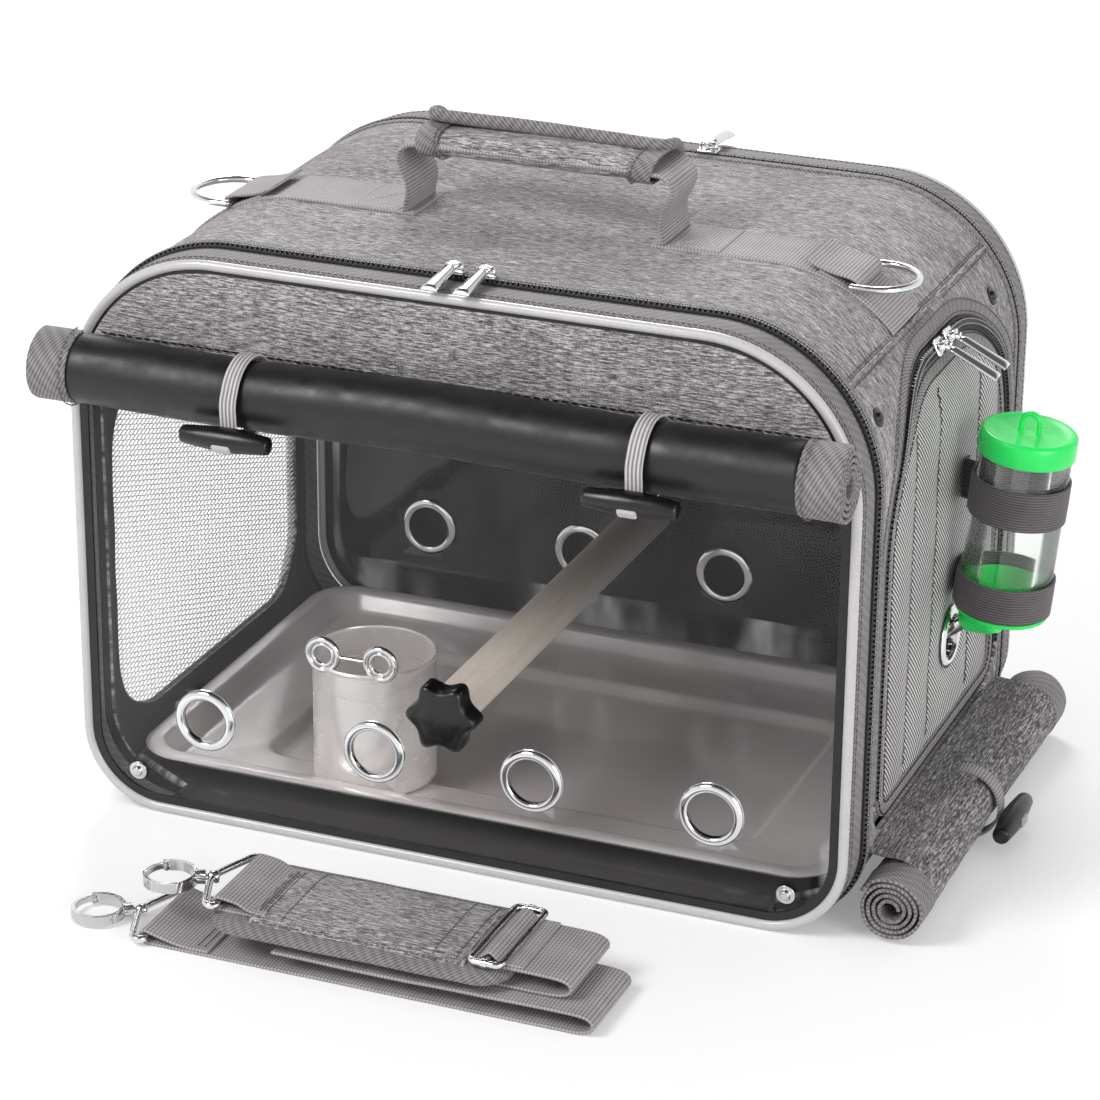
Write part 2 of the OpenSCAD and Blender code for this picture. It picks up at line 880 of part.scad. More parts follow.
// Three-sided strap ring with its bar along Y at the origin, its eye and swivel pin towards -X
module strap_ring() {
    half = strap_w / 2 + wire_r + 0.5;
    leg = strap_loop_r + 1.5;
    ring_t = 2 * wire_r - 0.4;
    corners = [
        [0, -half], [0, half], [-leg, half], [-ring_reach, 4], [-ring_reach, -4], [-leg, -half],
    ];
    wire(corners[0], corners[1], wire_r);
    translate([0, 0, -ring_t / 2])
        linear_extrude(ring_t) {
            for (i = [1:5])
                flat_bar(corners[i], corners[(i + 1) % 6]);
            for (corner = corners)
                translate(corner)
                    circle(wire_r + 0.3, $fn = 32);
        }
    at_swivel() {
        translate([-pin_start, -2.6, -2.6])
            cube([pin_start + 1, 5.2, 5.2]);
        translate([-pin_start, 0, 0])
            rotate([0, -90, 0]) {
                cylinder(r = pin_r, h = pin_len);
                translate([0, 0, pin_len - pin_head])
                    cylinder(r = pin_r + 1, h = pin_head);
            }
    }
}

// Places its children at a ring's eye, turned along the hook's swivel
module at_swivel() {
    translate([-ring_reach, 0, 0])
        rotate([0, 0, hook_turn])
            children();
}

// Sector of a flat ring
module ring_sector(outer, inner, a0, a1, h) {
    rotate([0, 0, a0])
        rotate_extrude(angle = a1 - a0)
            translate([inner, -h / 2])
                square([outer - inner, h]);
}

// Places its children at the middle of a hook's loop
module at_hook_loop() {
    at_swivel()
        translate([-hook_reach, 0, 0])
            children();
}

// Swivel hook on a ring's pin
module strap_hook() {
    at_hook_loop() {
        ring_sector(hook_r, hook_r - hook_t, gate_start + gate_angle, gate_start - knuckle_gap + 360, hook_h);
        difference() {
            translate([hook_r - hook_t / 2, 0, 0])
                rotate([0, 90, 0])
                    cylinder(r = barrel_r, h = pin_len + 0.6);
            translate([hook_r, 0, 0])
                rotate([0, 90, 0]) {
                    cylinder(r = pin_r + gap, h = far);
                    cylinder(r = pin_r + 1 + gap, h = pin_head + 0.8);
                }
        }
        for (side = [-1, 1])
            ear(side);
    }
}

// Ear that joins the hook's loop to the gate's pin, above or below the gate
module ear(side) {
    ear_t = 0.8;
    peg_h = hook_h / 2 - 0.6;
    translate([0, 0, side * (hook_h - ear_t) / 2]) {
        ring_sector(hook_r - 0.1, hook_r - hook_t + 0.1, gate_start - knuckle_gap - 2, gate_start, ear_t);
        rotate([0, 0, gate_start])
            translate([gate_mid_r, 0, 0])
                cylinder(r = knuckle_r, h = ear_t, center = true);
    }
    rotate([0, 0, gate_start])
        translate([gate_mid_r, 0, side * (hook_h / 2 - 0.2 - peg_h / 2)])
            cylinder(r = 0.5, h = peg_h, center = true, $fn = 24);
}

// Gate of such a hook
module hook_gate() {
    h = hook_h - 1.6 - 2 * gap;
    at_hook_loop()
        difference() {
            union() {
                ring_sector(hook_r - 0.2, hook_r - hook_t + 0.2, gate_start, gate_start + gate_angle - gate_play, h);
                rotate([0, 0, gate_start])
                    translate([gate_mid_r, 0, -h / 2])
                        cylinder(r = knuckle_r, h = h);
            }
            rotate([0, 0, gate_start])
                translate([gate_mid_r, 0, -h])
                    cylinder(r = 0.5 + gap / 2, h = 2 * h, $fn = 24);
        }
}

// Places its children at the lower and the upper strap ring
module at_ring_a() {
    translate([ring_a_x, strap_y + strap_shift, ring_a_z])
        children();
}

module at_ring_b() {
    translate([ring_b_x, strap_y, ring_b_z])
        children();
}

// ---- Bag ----

module top_panel() {
    color(heather)
        along_y(shell_y, -shell_y)
            intersection() {
                outline_ring(0, wall_t);
                top_sector(seam_angle);
            }
}

module left_wall() {
    color(lining)
        difference() {
            mirror([1, 0, 0])
                along_y(shell_y, -shell_y)
                    side_section(0, wall_t);
            along_x(-half_w - 1, -half_w + wall_t + 1)
                net_outline(net_border);
        }
}

module left_mesh() {
    x = -half_w + 1;
    color(heather) {
        along_x(x, x + net_t)
            difference() {
                net_outline(net_border);
                net_outline(0);
            }
        along_x(x, x + net_t)
            intersection() {
                net_outline(net_border / 2);
                net_strands();
            }
    }
}

// Two crossing sets of slanting strands
module net_strands() {
    span = net_half + (net_top_z - net_low_z) / 2;
    count = floor(span / net_pitch * sqrt(2) / 2);
    translate([0, (net_low_z + net_top_z) / 2])
        for (slant = [45, -45])
            rotate([0, 0, slant])
                for (i = [-count:count])
                    translate([-span, i * net_pitch - net_strand / 2])
                        square([2 * span, net_strand]);
}

module right_wall() {
    color(heather)
        difference() {
            along_y(shell_y, -shell_y)
                side_section(0, wall_t);
            along_x(0, far)
                intersection() {
                    side_outline(zip_w);
                    translate([-far, side_low_z + side_low_r])
                        square([2 * far, far]);
                }
            along_x(0, far)
                side_outline(gap);
            for (y = [stud_front_y, stud_back_y])
                at_side_stud(y)
                    translate([0, 0, -wall_t - 2])
                        cylinder(r = stud_r / 2 + gap, h = wall_t + 4);
        }
}

module base_panel() {
    sill = sill_half - gap;
    sill_y = -front_y - hoop_r - gap;
    color(lining) {
        along_y(shell_y, -shell_y)
            intersection() {
                outline_ring(0, board_t);
                base_sector();
            }
        for (y = [-sill_y, -shell_y])
            translate([-sill, y, 0])
                cube([2 * sill, sill_y + shell_y, tape_t]);
    }
}

module front_zip() {
    color(black)
        door_zip();
}

module back_zip() {
    color(black)
        mirror([0, 1, 0])
            door_zip();
}

module side_zip() {
    color(black)
        intersection() {
            along_y(shell_y, -shell_y)
                side_section(-zip_rise, wall_t);
            along_x(0, far)
                intersection() {
                    difference() {
                        side_outline(zip_w);
                        side_outline(gap);
                    }
                    translate([-far, side_low_z + side_low_r])
                        square([2 * far, far]);
                }
        }
}

// Places a stud on the rounded corner over the side door
module at_side_stud(y) {
    translate([corner_x + corner_top_r * cos(stud_arc), y, corner_z + corner_top_r * sin(stud_arc)])
        rotate([0, 90 - stud_arc, 0])
            children();
}

module side_studs() {
    color(black)
        for (y = [stud_front_y, stud_back_y])
            at_side_stud(y)
                translate([0, 0, 0.2])
                    snap_stud(wall_t + 0.4);
}

module top_webbing() {
    color(webbing)
        for (side = [0, 1])
            mirror([side, 0, 0])
                webbing_side();
}

module perch() {
    end = -front_y - window_t / 2 - gap;
    color([0.80, 0.70, 0.62])
        translate([0, end, perch_z])
            rotate([90, 0, 0])
                difference() {
                    cylinder(r = perch_r, h = 2 * end);
                    for (z = [-1, 2 * end - fix_depth - 2 * gap])
                        translate([0, 0, z])
                            cylinder(r = fix_r + fix_play, h = fix_depth + 2 * gap + 1);
                }
}

module side_shade_roll() {
    x = half_w + side_roll_r + roll_edge_t + gap;
    z = side_roll_r + roll_edge_t;
    color(heather)
        difference() {
            union() {
                translate([x, 0, z])
                    rotate([0, 0, 90])
                        shade_roll(side_roll_r, side_roll_len);
                translate([half_w - 1.4, -side_roll_len / 2 + roll_edge, z + side_roll_r - cloth_t])
                    cube([side_roll_r, side_roll_len - 2 * roll_edge, cloth_t]);
            }
            along_y(-far, far)
                outline(0);
        }
}

// Places its children on the side roll's axis, turned to hang from its outer side
module at_side_tie() {
    translate([half_w + side_roll_r + roll_edge_t + gap, side_tie_y, side_roll_r + roll_edge_t])
        rotate([0, 0, 90])
            rotate([-78, 0, 0])
                children();
}

module side_shade_tie() {
    color(webbing)
        difference() {
            at_side_tie()
                roll_tie(side_roll_r);
            along_y(-far, far)
                outline(-gap / 2);
            translate([half_w - 1, -far / 2, 2 * side_roll_r + roll_edge_t - cloth_t - gap])
                cube([side_roll_r, far, cloth_t + 2 * gap]);
            translate([0, -far / 2, -far])
                cube([far, far, far]);
        }
}

module side_toggle() {
    color(black)
        at_side_tie()
            toggle(side_roll_r);
}

module d_ring_left() {
    color(chrome)
        mirror([1, 0, 0])
            at_ring_bar(ring_angle + ring_droop)
                d_ring();
}

module d_ring_right() {
    color(chrome)
        at_ring_bar(ring_angle + ring_droop)
            d_ring();
}

// ---- Handle ----

module handle_leg_left() {
    color(webbing)
        handle_leg(-handle_half);
}

module handle_leg_right() {
    color(webbing)
        handle_leg(handle_half);
}

module handle_grip() {
    end = handle_half + leg_t / 2 + gap;
    grip_half = handle_half - grip_inset;
    edge_r = grip_h / 2;
    low_z = tongue_z + leg_t / 2 - edge_r;
    color(heather) {
        translate([-end, handle_y - handle_w / 2, tongue_z])
            cube([2 * end, handle_w, leg_t]);
        for (y = [-1, 1])
            translate([-grip_half, handle_y + y * (handle_w / 2 - edge_r + 1), low_z + edge_r])
                rotate([0, 90, 0])
                    cylinder(r = edge_r, h = 2 * grip_half);
        translate([-grip_half, handle_y - handle_w / 2 + edge_r - 1, low_z])
            cube([2 * grip_half, handle_w - 2 * edge_r + 2, grip_h]);
        translate([-grip_half, handle_y + grip_cover_t / 2, low_z + grip_h - 1 + grip_cover_t / 2])
            rotate([0, 90, 0])
                cylinder(r = grip_cover_t / 2, h = 2 * grip_half);
        translate([-grip_half, handle_y + grip_cover_t / 2, low_z + grip_h - 1])
            cube([2 * grip_half, handle_w / 2 - edge_r + 1 - grip_cover_t / 2, grip_cover_t]);
    }
}

// ---- Inside ----

module perch_knob_front() {
    color(black)
        knob_shape();
}

module perch_knob_back() {
    color(black)
        mirror([0, 1, 0])
            knob_shape();
}

module tray() {
    tub_w = tray_w - 2 * tray_rim;
    tub_d = tray_d - 2 * tray_rim;
    tub_r = tray_r - tray_rim + tray_t;
    rim_z = tray_z + tray_h;
    sunk_r = 12;
    color(silver)
        difference() {
            union() {
                rounded_block(tray_w, tray_d, tray_r, rim_z - tray_t, rim_z);
                rounded_block(tub_w, tub_d, tub_r, ledge_z - tray_t, rim_z - tray_t / 2);
                rounded_block(sunk_w, sunk_d, sunk_r, tray_z, ledge_z - tray_t / 2);
            }
            rounded_block(tub_w - 2 * tray_t, tub_d - 2 * tray_t, tub_r - tray_t, ledge_z, rim_z + 1);
            rounded_block(sunk_w - 2 * tray_t, sunk_d - 2 * tray_t, sunk_r - tray_t, tray_z + tray_t, ledge_z + 1);
        }
}

module feed_cup() {
    lip_r = 1.3;
    ring_y = -sqrt(cup_r * cup_r - hanger_half * hanger_half);
    ring_z = cup_h + hanger_r - hanger_wire_r / 2;
    color(silver)
        translate([cup_x, cup_y, cup_z]) {
            difference() {
                cylinder(r = cup_r, h = cup_h, $fn = 96);
                translate([0, 0, cup_t])
                    cylinder(r = cup_r - cup_t, h = cup_h, $fn = 96);
            }
            translate([0, 0, cup_h])
                rotate_extrude($fn = 96)
                    translate([cup_r - cup_t / 2, 0])
                        circle(lip_r, $fn = 24);
            for (side = [-1, 1])
                translate([side * hanger_half, ring_y, ring_z])
                    rotate([90, 0, 0])
                        rotate_extrude()
                            translate([hanger_r, 0])
                                circle(hanger_wire_r, $fn = 24);
            translate([-hanger_half + hanger_r, ring_y, ring_z])
                rotate([0, 90, 0])
                    cylinder(r = 0.9, h = 2 * (hanger_half - hanger_r), $fn = 24);
        }
}

// ---- Front door ----

module front_hoop() {
    color(silver)
        door_hoop();
}

module front_binding() {
    color(tape)
        door_tape(0);
}

module front_window() {
    color(clear)
        door_window(true);
}

module front_eyelets() {
    color(chrome)
        at_eyelets()
            eyelet(window_t);
}

module front_header() {
    color(heather)
        along_y(pane_y - cloth_t, pane_y)
            intersection() {
                outline(window_inset);
                translate([-far, header_z])
                    square([2 * far, far]);
            }
}

// Places its children on the front roll's axis
module at_front_roll() {
    translate([0, front_y - hoop_r - front_roll_r - roll_edge_t - gap, front_roll_z])
        children();
}

module front_shade_roll() {
    neck_half = half_w - corner_top_r;
    roll_top_z = front_roll_z + front_roll_r;
    color([0.08, 0.08, 0.09]) {
        at_front_roll()
            shade_roll(front_roll_r, front_roll_len);
        difference() {
            translate([-neck_half, pane_y - cloth_t - gap - front_roll_r - hoop_r, roll_top_z - cloth_t])
                cube([2 * neck_half, front_roll_r + hoop_r, cloth_t]);
            at_front_roll()
                translate([-far, 0, 0])
                    rotate([0, 90, 0])
                        cylinder(r = front_roll_r - 0.5, h = 2 * far);
            for (side = [-1, 1])
                translate([tie_shift + side * tie_x - tie_w / 2 - gap, -far, roll_top_z - front_roll_r])
                    cube([tie_w + 2 * gap, 2 * far, 2 * front_roll_r]);
        }
    }
}

// Places its children at each front tie, hanging a little forward of straight down
module at_front_ties() {
    for (side = [-1, 1])
        translate([tie_shift + side * tie_x, 0, 0])
            at_front_roll()
                rotate([-tie_lean, 0, 0])
                    children();
}

module front_shade_ties() {
    color(webbing)
        difference() {
            at_front_ties()
                roll_tie(front_roll_r);
            along_y(pane_y - cloth_t - gap, far)
                outline(0);
        }
}

module front_toggles() {
    color(black)
        at_front_ties()
            toggle(front_roll_r);
}

module front_studs() {
    color(silver)
        for (side = [-1, 1])
            on_pane(side * stud_x, stud_z)
                snap_stud(window_t);
}

// ---- Back door ----

module back_frame() {
    color(tape)
        mirror([0, 1, 0]) {
            door_hoop();
            door_tape(gap);
        }
}

module back_window() {
    color(clear)
        mirror([0, 1, 0])
            door_window(false);
}

module back_eyelets() {
    color(chrome)
        mirror([0, 1, 0])
            at_eyelets()
                eyelet(window_t);
}

module back_shade() {
    over_knob_y = pane_y - 2 * gap - knob_boss_t - knob_t - knob_crown_t;
    knob_top_z = perch_z + knob_r;
    color(heather)
        mirror([0, 1, 0])
            intersection() {
                along_y(over_knob_y - 2 * cloth_t, pane_y)
                    outline(window_inset);
                along_x(-far, far)
                    polygon([[pane_y, bag_h], [over_knob_y, knob_top_z], [over_knob_y, back_shade_hem_z],
                             [over_knob_y - cloth_t, back_shade_hem_z], [over_knob_y - cloth_t, knob_top_z],
                             [pane_y - cloth_t, bag_h]]);
            }
}

// ---- Side door ----

module side_door_panel() {
    color(heather)
        difference() {
            intersection() {
                along_y(shell_y, -shell_y)
                    side_section(0, side_t);
                along_x(0, far)
                    side_outline(0);
            }
            translate([half_w - side_t - 1, spout_y, spout_z])
                rotate([0, 90, 0])
                    cylinder(r = eyelet_hole_r + 1.1, h = side_t + 2);
        }
}

module side_eyelet() {
    color(chrome)
        translate([half_w, spout_y, spout_z])
            rotate([0, 90, 0])
                eyelet(side_t);
}

module bottle_bands() {
    color(tape) {
        bottle_band(band_low_h, band_low_w);
        bottle_band(band_up_h, band_up_w);
    }
}

module bottle_body() {
    color(clear)
        in_bottle_frame()
            difference() {
                cylinder(r = bottle_r, h = bottle_h, $fn = 96);
                translate([0, 0, -1])
                    cylinder(r = bottle_r - bottle_t, h = bottle_h + 2, $fn = 96);
            }
}

module bottle_spout() {
    plug_h = 10;
    color(green) {
        in_bottle_frame() {
            cylinder(r = bottle_r - bottle_t - 0.05, h = plug_h);
            translate([0, 0, -2])
                cylinder(r = bottle_r, h = 2);
        }
        intersection() {
            translate([bottle_x - 4, bottle_y, bottle_z - 1.4])
                rotate([0, -116, 0])
                    cylinder(r1 = 11, r2 = 5.5, h = 17);
            in_bottle_frame()
                translate([0, 0, -60])
                    cylinder(r = bottle_r + 20, h = 60);
        }
        spout_tube();
    }
}

// Steel tube from the nozzle through the eyelet to the bird's side
module spout_tube() {
    start = [bottle_x - 17, bottle_y + 0.5, spout_z + 12];
    end = [half_w - 14, spout_y, spout_z - 7];
    run = end - start;
    translate(start)
        rotate([0, acos(run[2] / norm(run)), atan2(run[1], run[0])])
            cylinder(r = tube_r, h = norm(run));
}

module bottle_cap() {
    skirt = 6;
    color(green)
        in_bottle_frame()
            translate([0, 0, bottle_h - skirt]) {
                difference() {
                    union() {
                        cylinder(r = cap_r, h = cap_h - 1.5, $fn = 96);
                        translate([0, 0, cap_h - 1.5])
                            cylinder(r1 = cap_r, r2 = cap_r - 1.5, h = 1.5, $fn = 96);
                    }
                    translate([0, 0, -1])
                        cylinder(r = bottle_r + gap, h = skirt + 1 + gap, $fn = 96);
                }
                translate([0, 0, cap_h])
                    rotate([0, 0, 90])
                        cap_loop();
            }
}

// Hanging loop on the cap
module cap_loop() {
    bow_r = 4.2;
    wire_d = 2.6;
    translate([0, 0, 5])
        rotate([90, 0, 0])
            rotate_extrude(angle = 180)
                translate([bow_r, 0])
                    circle(wire_d / 2, $fn = 24);
    for (side = [-1, 1])
        translate([side * bow_r, 0, -0.5])
            cylinder(r = wire_d / 2, h = 5.5, $fn = 24);
}

// ---- Zip sliders ----

module front_slider_left() {
    color(chrome)
        on_front_zip(-front_slider_x)
            slider();
}

module front_slider_right() {
    color(chrome)
        on_front_zip(front_slider_x)
            slider();
}

module front_pull_left() {
    color(chrome)
        on_front_zip(-front_slider_x)
            pull(pull_droop);
}

module front_pull_right() {
    color(chrome)
        on_front_zip(front_slider_x)
            pull(pull_droop);
}

module side_slider_front() {
    color(chrome)
        on_side_zip(-side_slider_y)
            slider();
}

module side_slider_back() {
    color(chrome)
        on_side_zip(side_slider_y)
            slider();
}

module side_pull_front() {
    color(chrome)
        on_side_zip(-side_slider_y)
            pull(side_pull_droop);
}

module side_pull_back() {
    color(chrome)
        on_side_zip(side_slider_y)
            pull(side_pull_droop);
}
module back_slider() {
    color(chrome)
        mirror([0, 1, 0])
            on_front_zip(back_slider_x)
                slider();
}

module back_pull() {
    color(chrome)
        mirror([0, 1, 0])
            on_front_zip(back_slider_x)
                pull(pull_droop);
}

// ---- Shoulder strap ----

module strap_webbing() {
    low_y = strap_y + strap_shift;
    color(webbing) {
        strap_run(ring_a_x, lower_fold_x, 0, low_y);
        strap_fold(lower_fold_x, fold_r, fold_r, low_y);
        strap_run(pad_x - 40, lower_fold_x, lower_top_z, low_y);
        strap_loop(ring_a_x, ring_a_z, low_y);
        strap_run(ring_a_x + strap_loop_r, ring_a_x + 26, strap_t, low_y);
        strap_run(pad_x - 30, upper_fold_x, return_z, strap_y);
        strap_fold(upper_fold_x, return_z + upper_fold_r, upper_fold_r, strap_y);
        strap_run(ring_b_x, upper_fold_x, upper_z, strap_y);
        strap_loop(ring_b_x, ring_b_z, strap_y);
    }
}

module shoulder_pad() {
    crown = 1.4;
    corner = 14;
    sleeve_w = strap_w + 10;
    sleeve_top = strap_t + 2 * gap + 1;
    color(heather)
        translate([pad_x, strap_y, pad_z]) {
            hull() {
                for (x = [-1, 1], y = [-1, 1]) {
                    translate([x * (pad_len / 2 - corner), y * (pad_w / 2 - corner), pad_t * 0.3])
                        cylinder(r = corner, h = pad_t * 0.4, $fn = 32);
                    translate([x * (pad_len / 2 - corner - 4), y * (pad_w / 2 - corner - 4), 0])
                        cylinder(r = corner, h = pad_t, $fn = 32);
                }
            }
            difference() {
                translate([-sleeve_len / 2, -sleeve_w / 2, pad_t - 0.5])
                    cube([sleeve_len, sleeve_w, sleeve_top + 0.5]);
                translate([-sleeve_len / 2 - 1, -strap_w / 2 - gap, pad_t])
                    cube([sleeve_len + 2, strap_w + 2 * gap, strap_t + 2 * gap]);
            }
            translate([-sleeve_len / 2 + 6, -sleeve_w / 2 + 5, pad_t + sleeve_top - 0.01])
                cube([sleeve_len - 12, sleeve_w - 10, crown]);
        }
}

module strap_slide() {
    half = strap_w / 2 + wire_r + 2;
    color(chrome)
        translate([slide_x, strap_y, slide_z]) {
            for (x = [0, slide_len / 2, slide_len])
                wire([x, -half], [x, half], x == slide_len / 2 ? wire_r * 0.8 : wire_r);
            for (y = [-half, half]) {
                wire([0, y], [slide_len, y], wire_r);
                for (x = [0, slide_len])
                    translate([x, y, 0])
                        sphere(wire_r, $fn = 32);
            }
        }
}

module strap_rings() {
    color(chrome) {
        at_ring_a()
            strap_ring();
        at_ring_b()
            strap_ring();
    }
}

module strap_hook_a() {
    color(silver)
        at_ring_a()
            strap_hook();
}

module strap_hook_b() {
    color(silver)
        at_ring_b()
            strap_hook();
}

module hook_gate_a() {
    color(silver)
        at_ring_a()
            hook_gate();
}

module hook_gate_b() {
    color(silver)
        at_ring_b()
            hook_gate();
}

top_panel();
left_wall();
left_mesh();
right_wall();
base_panel();
front_zip();
back_zip();
side_zip();
side_studs();
top_webbing();
perch();
side_shade_roll();
side_shade_tie();
side_toggle();
d_ring_left();
d_ring_right();
handle_leg_left();
handle_leg_right();
handle_grip();
perch_knob_front();
perch_knob_back();
tray();
feed_cup();
front_hoop();
front_binding();
front_window();
front_eyelets();
front_header();
front_shade_roll();
front_shade_ties();
front_toggles();
front_studs();
back_frame();
back_window();
back_eyelets();
back_shade();
side_door_panel();
side_eyelet();
bottle_bands();
bottle_body();
bottle_spout();
bottle_cap();
front_slider_left();
front_slider_right();
front_pull_left();
front_pull_right();
side_slider_front();
side_slider_back();
side_pull_front();
side_pull_back();
back_slider();
back_pull();
strap_webbing();
shoulder_pad();
strap_slide();
strap_rings();
strap_hook_a();
strap_hook_b();
hook_gate_a();
hook_gate_b();
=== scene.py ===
"""Looks of a travel carrier for pet birds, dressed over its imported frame.

Shapes are worked in millimetres in the frame's own axes, and are brought to metres when they are stored as pieces.
"""

import logging
from collections.abc import Callable, Sequence
from dataclasses import dataclass, field
from enum import Enum
from math import acos, asin, atan2, copysign, cos, dist, exp, hypot, pi, radians, sin, sqrt

import bmesh
import bpy
from mathutils import Matrix, Vector, noise


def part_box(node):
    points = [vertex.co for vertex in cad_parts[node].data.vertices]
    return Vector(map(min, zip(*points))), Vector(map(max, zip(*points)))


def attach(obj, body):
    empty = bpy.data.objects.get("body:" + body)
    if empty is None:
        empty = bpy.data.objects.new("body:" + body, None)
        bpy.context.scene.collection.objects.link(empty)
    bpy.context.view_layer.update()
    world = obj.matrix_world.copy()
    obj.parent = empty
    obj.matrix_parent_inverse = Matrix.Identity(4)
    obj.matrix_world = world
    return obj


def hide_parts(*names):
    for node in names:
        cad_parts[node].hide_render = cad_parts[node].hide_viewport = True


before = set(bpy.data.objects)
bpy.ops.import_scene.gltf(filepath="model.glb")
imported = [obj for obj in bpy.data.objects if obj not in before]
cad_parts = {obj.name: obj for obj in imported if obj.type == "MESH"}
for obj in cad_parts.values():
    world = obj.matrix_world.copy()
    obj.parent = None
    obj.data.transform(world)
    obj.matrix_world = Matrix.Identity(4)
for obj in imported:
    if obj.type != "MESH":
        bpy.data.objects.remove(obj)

log = logging.getLogger("carrier")
MM = 0.001
Shape = bmesh.types.BMesh
Socket = bpy.types.NodeSocket
Colour = tuple[float, float, float]
Profile = Sequence[tuple[float, float]]
Place = Callable[[float, float], Vector]
Flat = Callable[[float, float], tuple[float, float]]
X, Y, Z = Vector((1, 0, 0)), Vector((0, 1, 0)), Vector((0, 0, 1))


# ---- Shapes ----


class Side(Enum):
    """A side of the bag, and its sign along X."""

    LEFT = -1
    RIGHT = 1


def wander(point: Sequence[float], scale: float, seed: float = 0.0) -> float:
    """Gives a smooth uneven value from about -1 to 1 at a point, with features as large as scale."""
    return noise.noise(Vector(point) / scale + Vector((seed, 7.3 * seed, 2.1)))


def spin(degrees: float, axis: str) -> Matrix:
    """Gives a turn about an axis."""
    return Matrix.Rotation(radians(degrees), 4, axis)


def angles(count: int, whole: float = 2 * pi, ends: bool = False) -> list[float]:
    """Gives even angles over a whole, with its end if asked for."""
    return [whole * k / count for k in range(count + ends)]


def oval(wide: float, tall: float, count: int) -> list[tuple[float, float]]:
    """Gives the points of an oval."""
    return [(wide * cos(t), tall * sin(t)) for t in angles(count)]


def plump(wide: float, tall: float, across: float, up: float, count: int) -> list[tuple[float, float]]:
    """Gives the points of an oval that is squared off by a power in each direction."""
    return [(wide * copysign(abs(cos(t)) ** across, cos(t)),
             tall * copysign(abs(sin(t)) ** up, sin(t))) for t in angles(count)]


def reach_of(inside: Callable[[float, float], bool], x: float, z: float, turn: float,
             far: float) -> tuple[float, float]:
    """Gives where a ray from a point inside an edge meets it, by halving."""
    near = 0.0
    for _ in range(34):
        middle = (near + far) / 2
        if inside(x + middle * cos(turn), z + middle * sin(turn)):
            near = middle
        else:
            far = middle
    return x + near * cos(turn), z + near * sin(turn)


def mapped(nu: int, nv: int, place: Place, flat: Flat | None = None, merge: bool = False) -> Shape:
    """Shapes a square grid by moving each of its points to a place.

    Args:
        nu: Cells along u.
        nv: Cells along v.
        place: Gives the point for u and v from 0 to 1.
        flat: Gives the point's place on the cut cloth, for its weave.
        merge: Joins edges that meet, as on a tube.

    Returns:
        The shaped grid.
    """
    shape = bmesh.new()
    bmesh.ops.create_grid(shape, x_segments=nu, y_segments=nv, size=1.0)
    reach = max(v.co.x for v in shape.verts)
    cloth = shape.loops.layers.uv.new("cloth")
    for face in shape.faces:
        for corner in face.loops:
            u, v = (corner.vert.co.x / reach + 1) / 2, (corner.vert.co.y / reach + 1) / 2
            a, b = flat(u, v) if flat else (u, v)
            corner[cloth].uv = (a * MM, b * MM) if flat else (a, b)
    for vert in shape.verts:
        vert.co = place((vert.co.x / reach + 1) / 2, (vert.co.y / reach + 1) / 2)
    if merge:
        bmesh.ops.remove_doubles(shape, verts=shape.verts, dist=1e-3)
    return shape


def gather(*shapes: Shape) -> Shape:
    """Joins shapes into the first of them and returns it."""
    whole = shapes[0]
    for shape in shapes[1:]:
        passing = bpy.data.meshes.new("passing")
        shape.to_mesh(passing)
        shape.free()
        whole.from_mesh(passing)
        bpy.data.meshes.remove(passing)
    return whole


def face_from(shape: Shape, inner: Sequence[float]) -> Shape:
    """Turns an open shape so that its faces look away from an inner point, and returns it."""
    centre = Vector(inner)
    shape.normal_update()
    if sum((f.calc_center_median() - centre).dot(f.normal) * f.calc_area() for f in shape.faces) < 0:
        bmesh.ops.reverse_faces(shape, faces=shape.faces)
    return shape


def closed(shape: Shape) -> Shape:
    """Closes a shape's open loops, turns its faces outwards and returns it."""
    rims = [e for e in shape.edges if e.is_boundary]
    if rims:
        bmesh.ops.edgeloop_fill(shape, edges=rims)
    bmesh.ops.recalc_face_normals(shape, faces=shape.faces)
    return shape


def moved(shape: Shape, matrix: Matrix) -> Shape:
    """Places a shape by a matrix and returns it."""
    bmesh.ops.transform(shape, matrix=matrix, verts=shape.verts)
    return shape


def turned(profile: Profile, steps: int = 48) -> Shape:
    """Spins a profile of (radius, height) points round Z into a closed or open shell."""
    shape = bmesh.new()
    line = [shape.verts.new((r, 0, z)) for r, z in profile]
    edges = [shape.edges.new(pair) for pair in zip(line, line[1:])]
    bmesh.ops.spin(shape, geom=line + edges, axis=(0, 0, 1), cent=(0, 0, 0), angle=2 * pi, steps=steps,
                   use_merge=True)
    bmesh.ops.remove_doubles(shape, verts=shape.verts, dist=1e-3)
    bmesh.ops.recalc_face_normals(shape, faces=shape.faces)
    return shape


def block(size: Sequence[float], matrix: Matrix | None = None, soften: float = 0.0, segments: int = 2) -> Shape:
    """Makes a block with softened edges, and places it by a matrix."""
    shape = bmesh.new()
    bmesh.ops.create_cube(shape, size=1.0, matrix=Matrix.Diagonal((*size, 1)))
    if soften:
        bmesh.ops.bevel(shape, geom=shape.edges[:], offset=soften, affect="EDGES", segments=segments, profile=0.5,
                        material=-1)
    return moved(shape, matrix) if matrix else shape


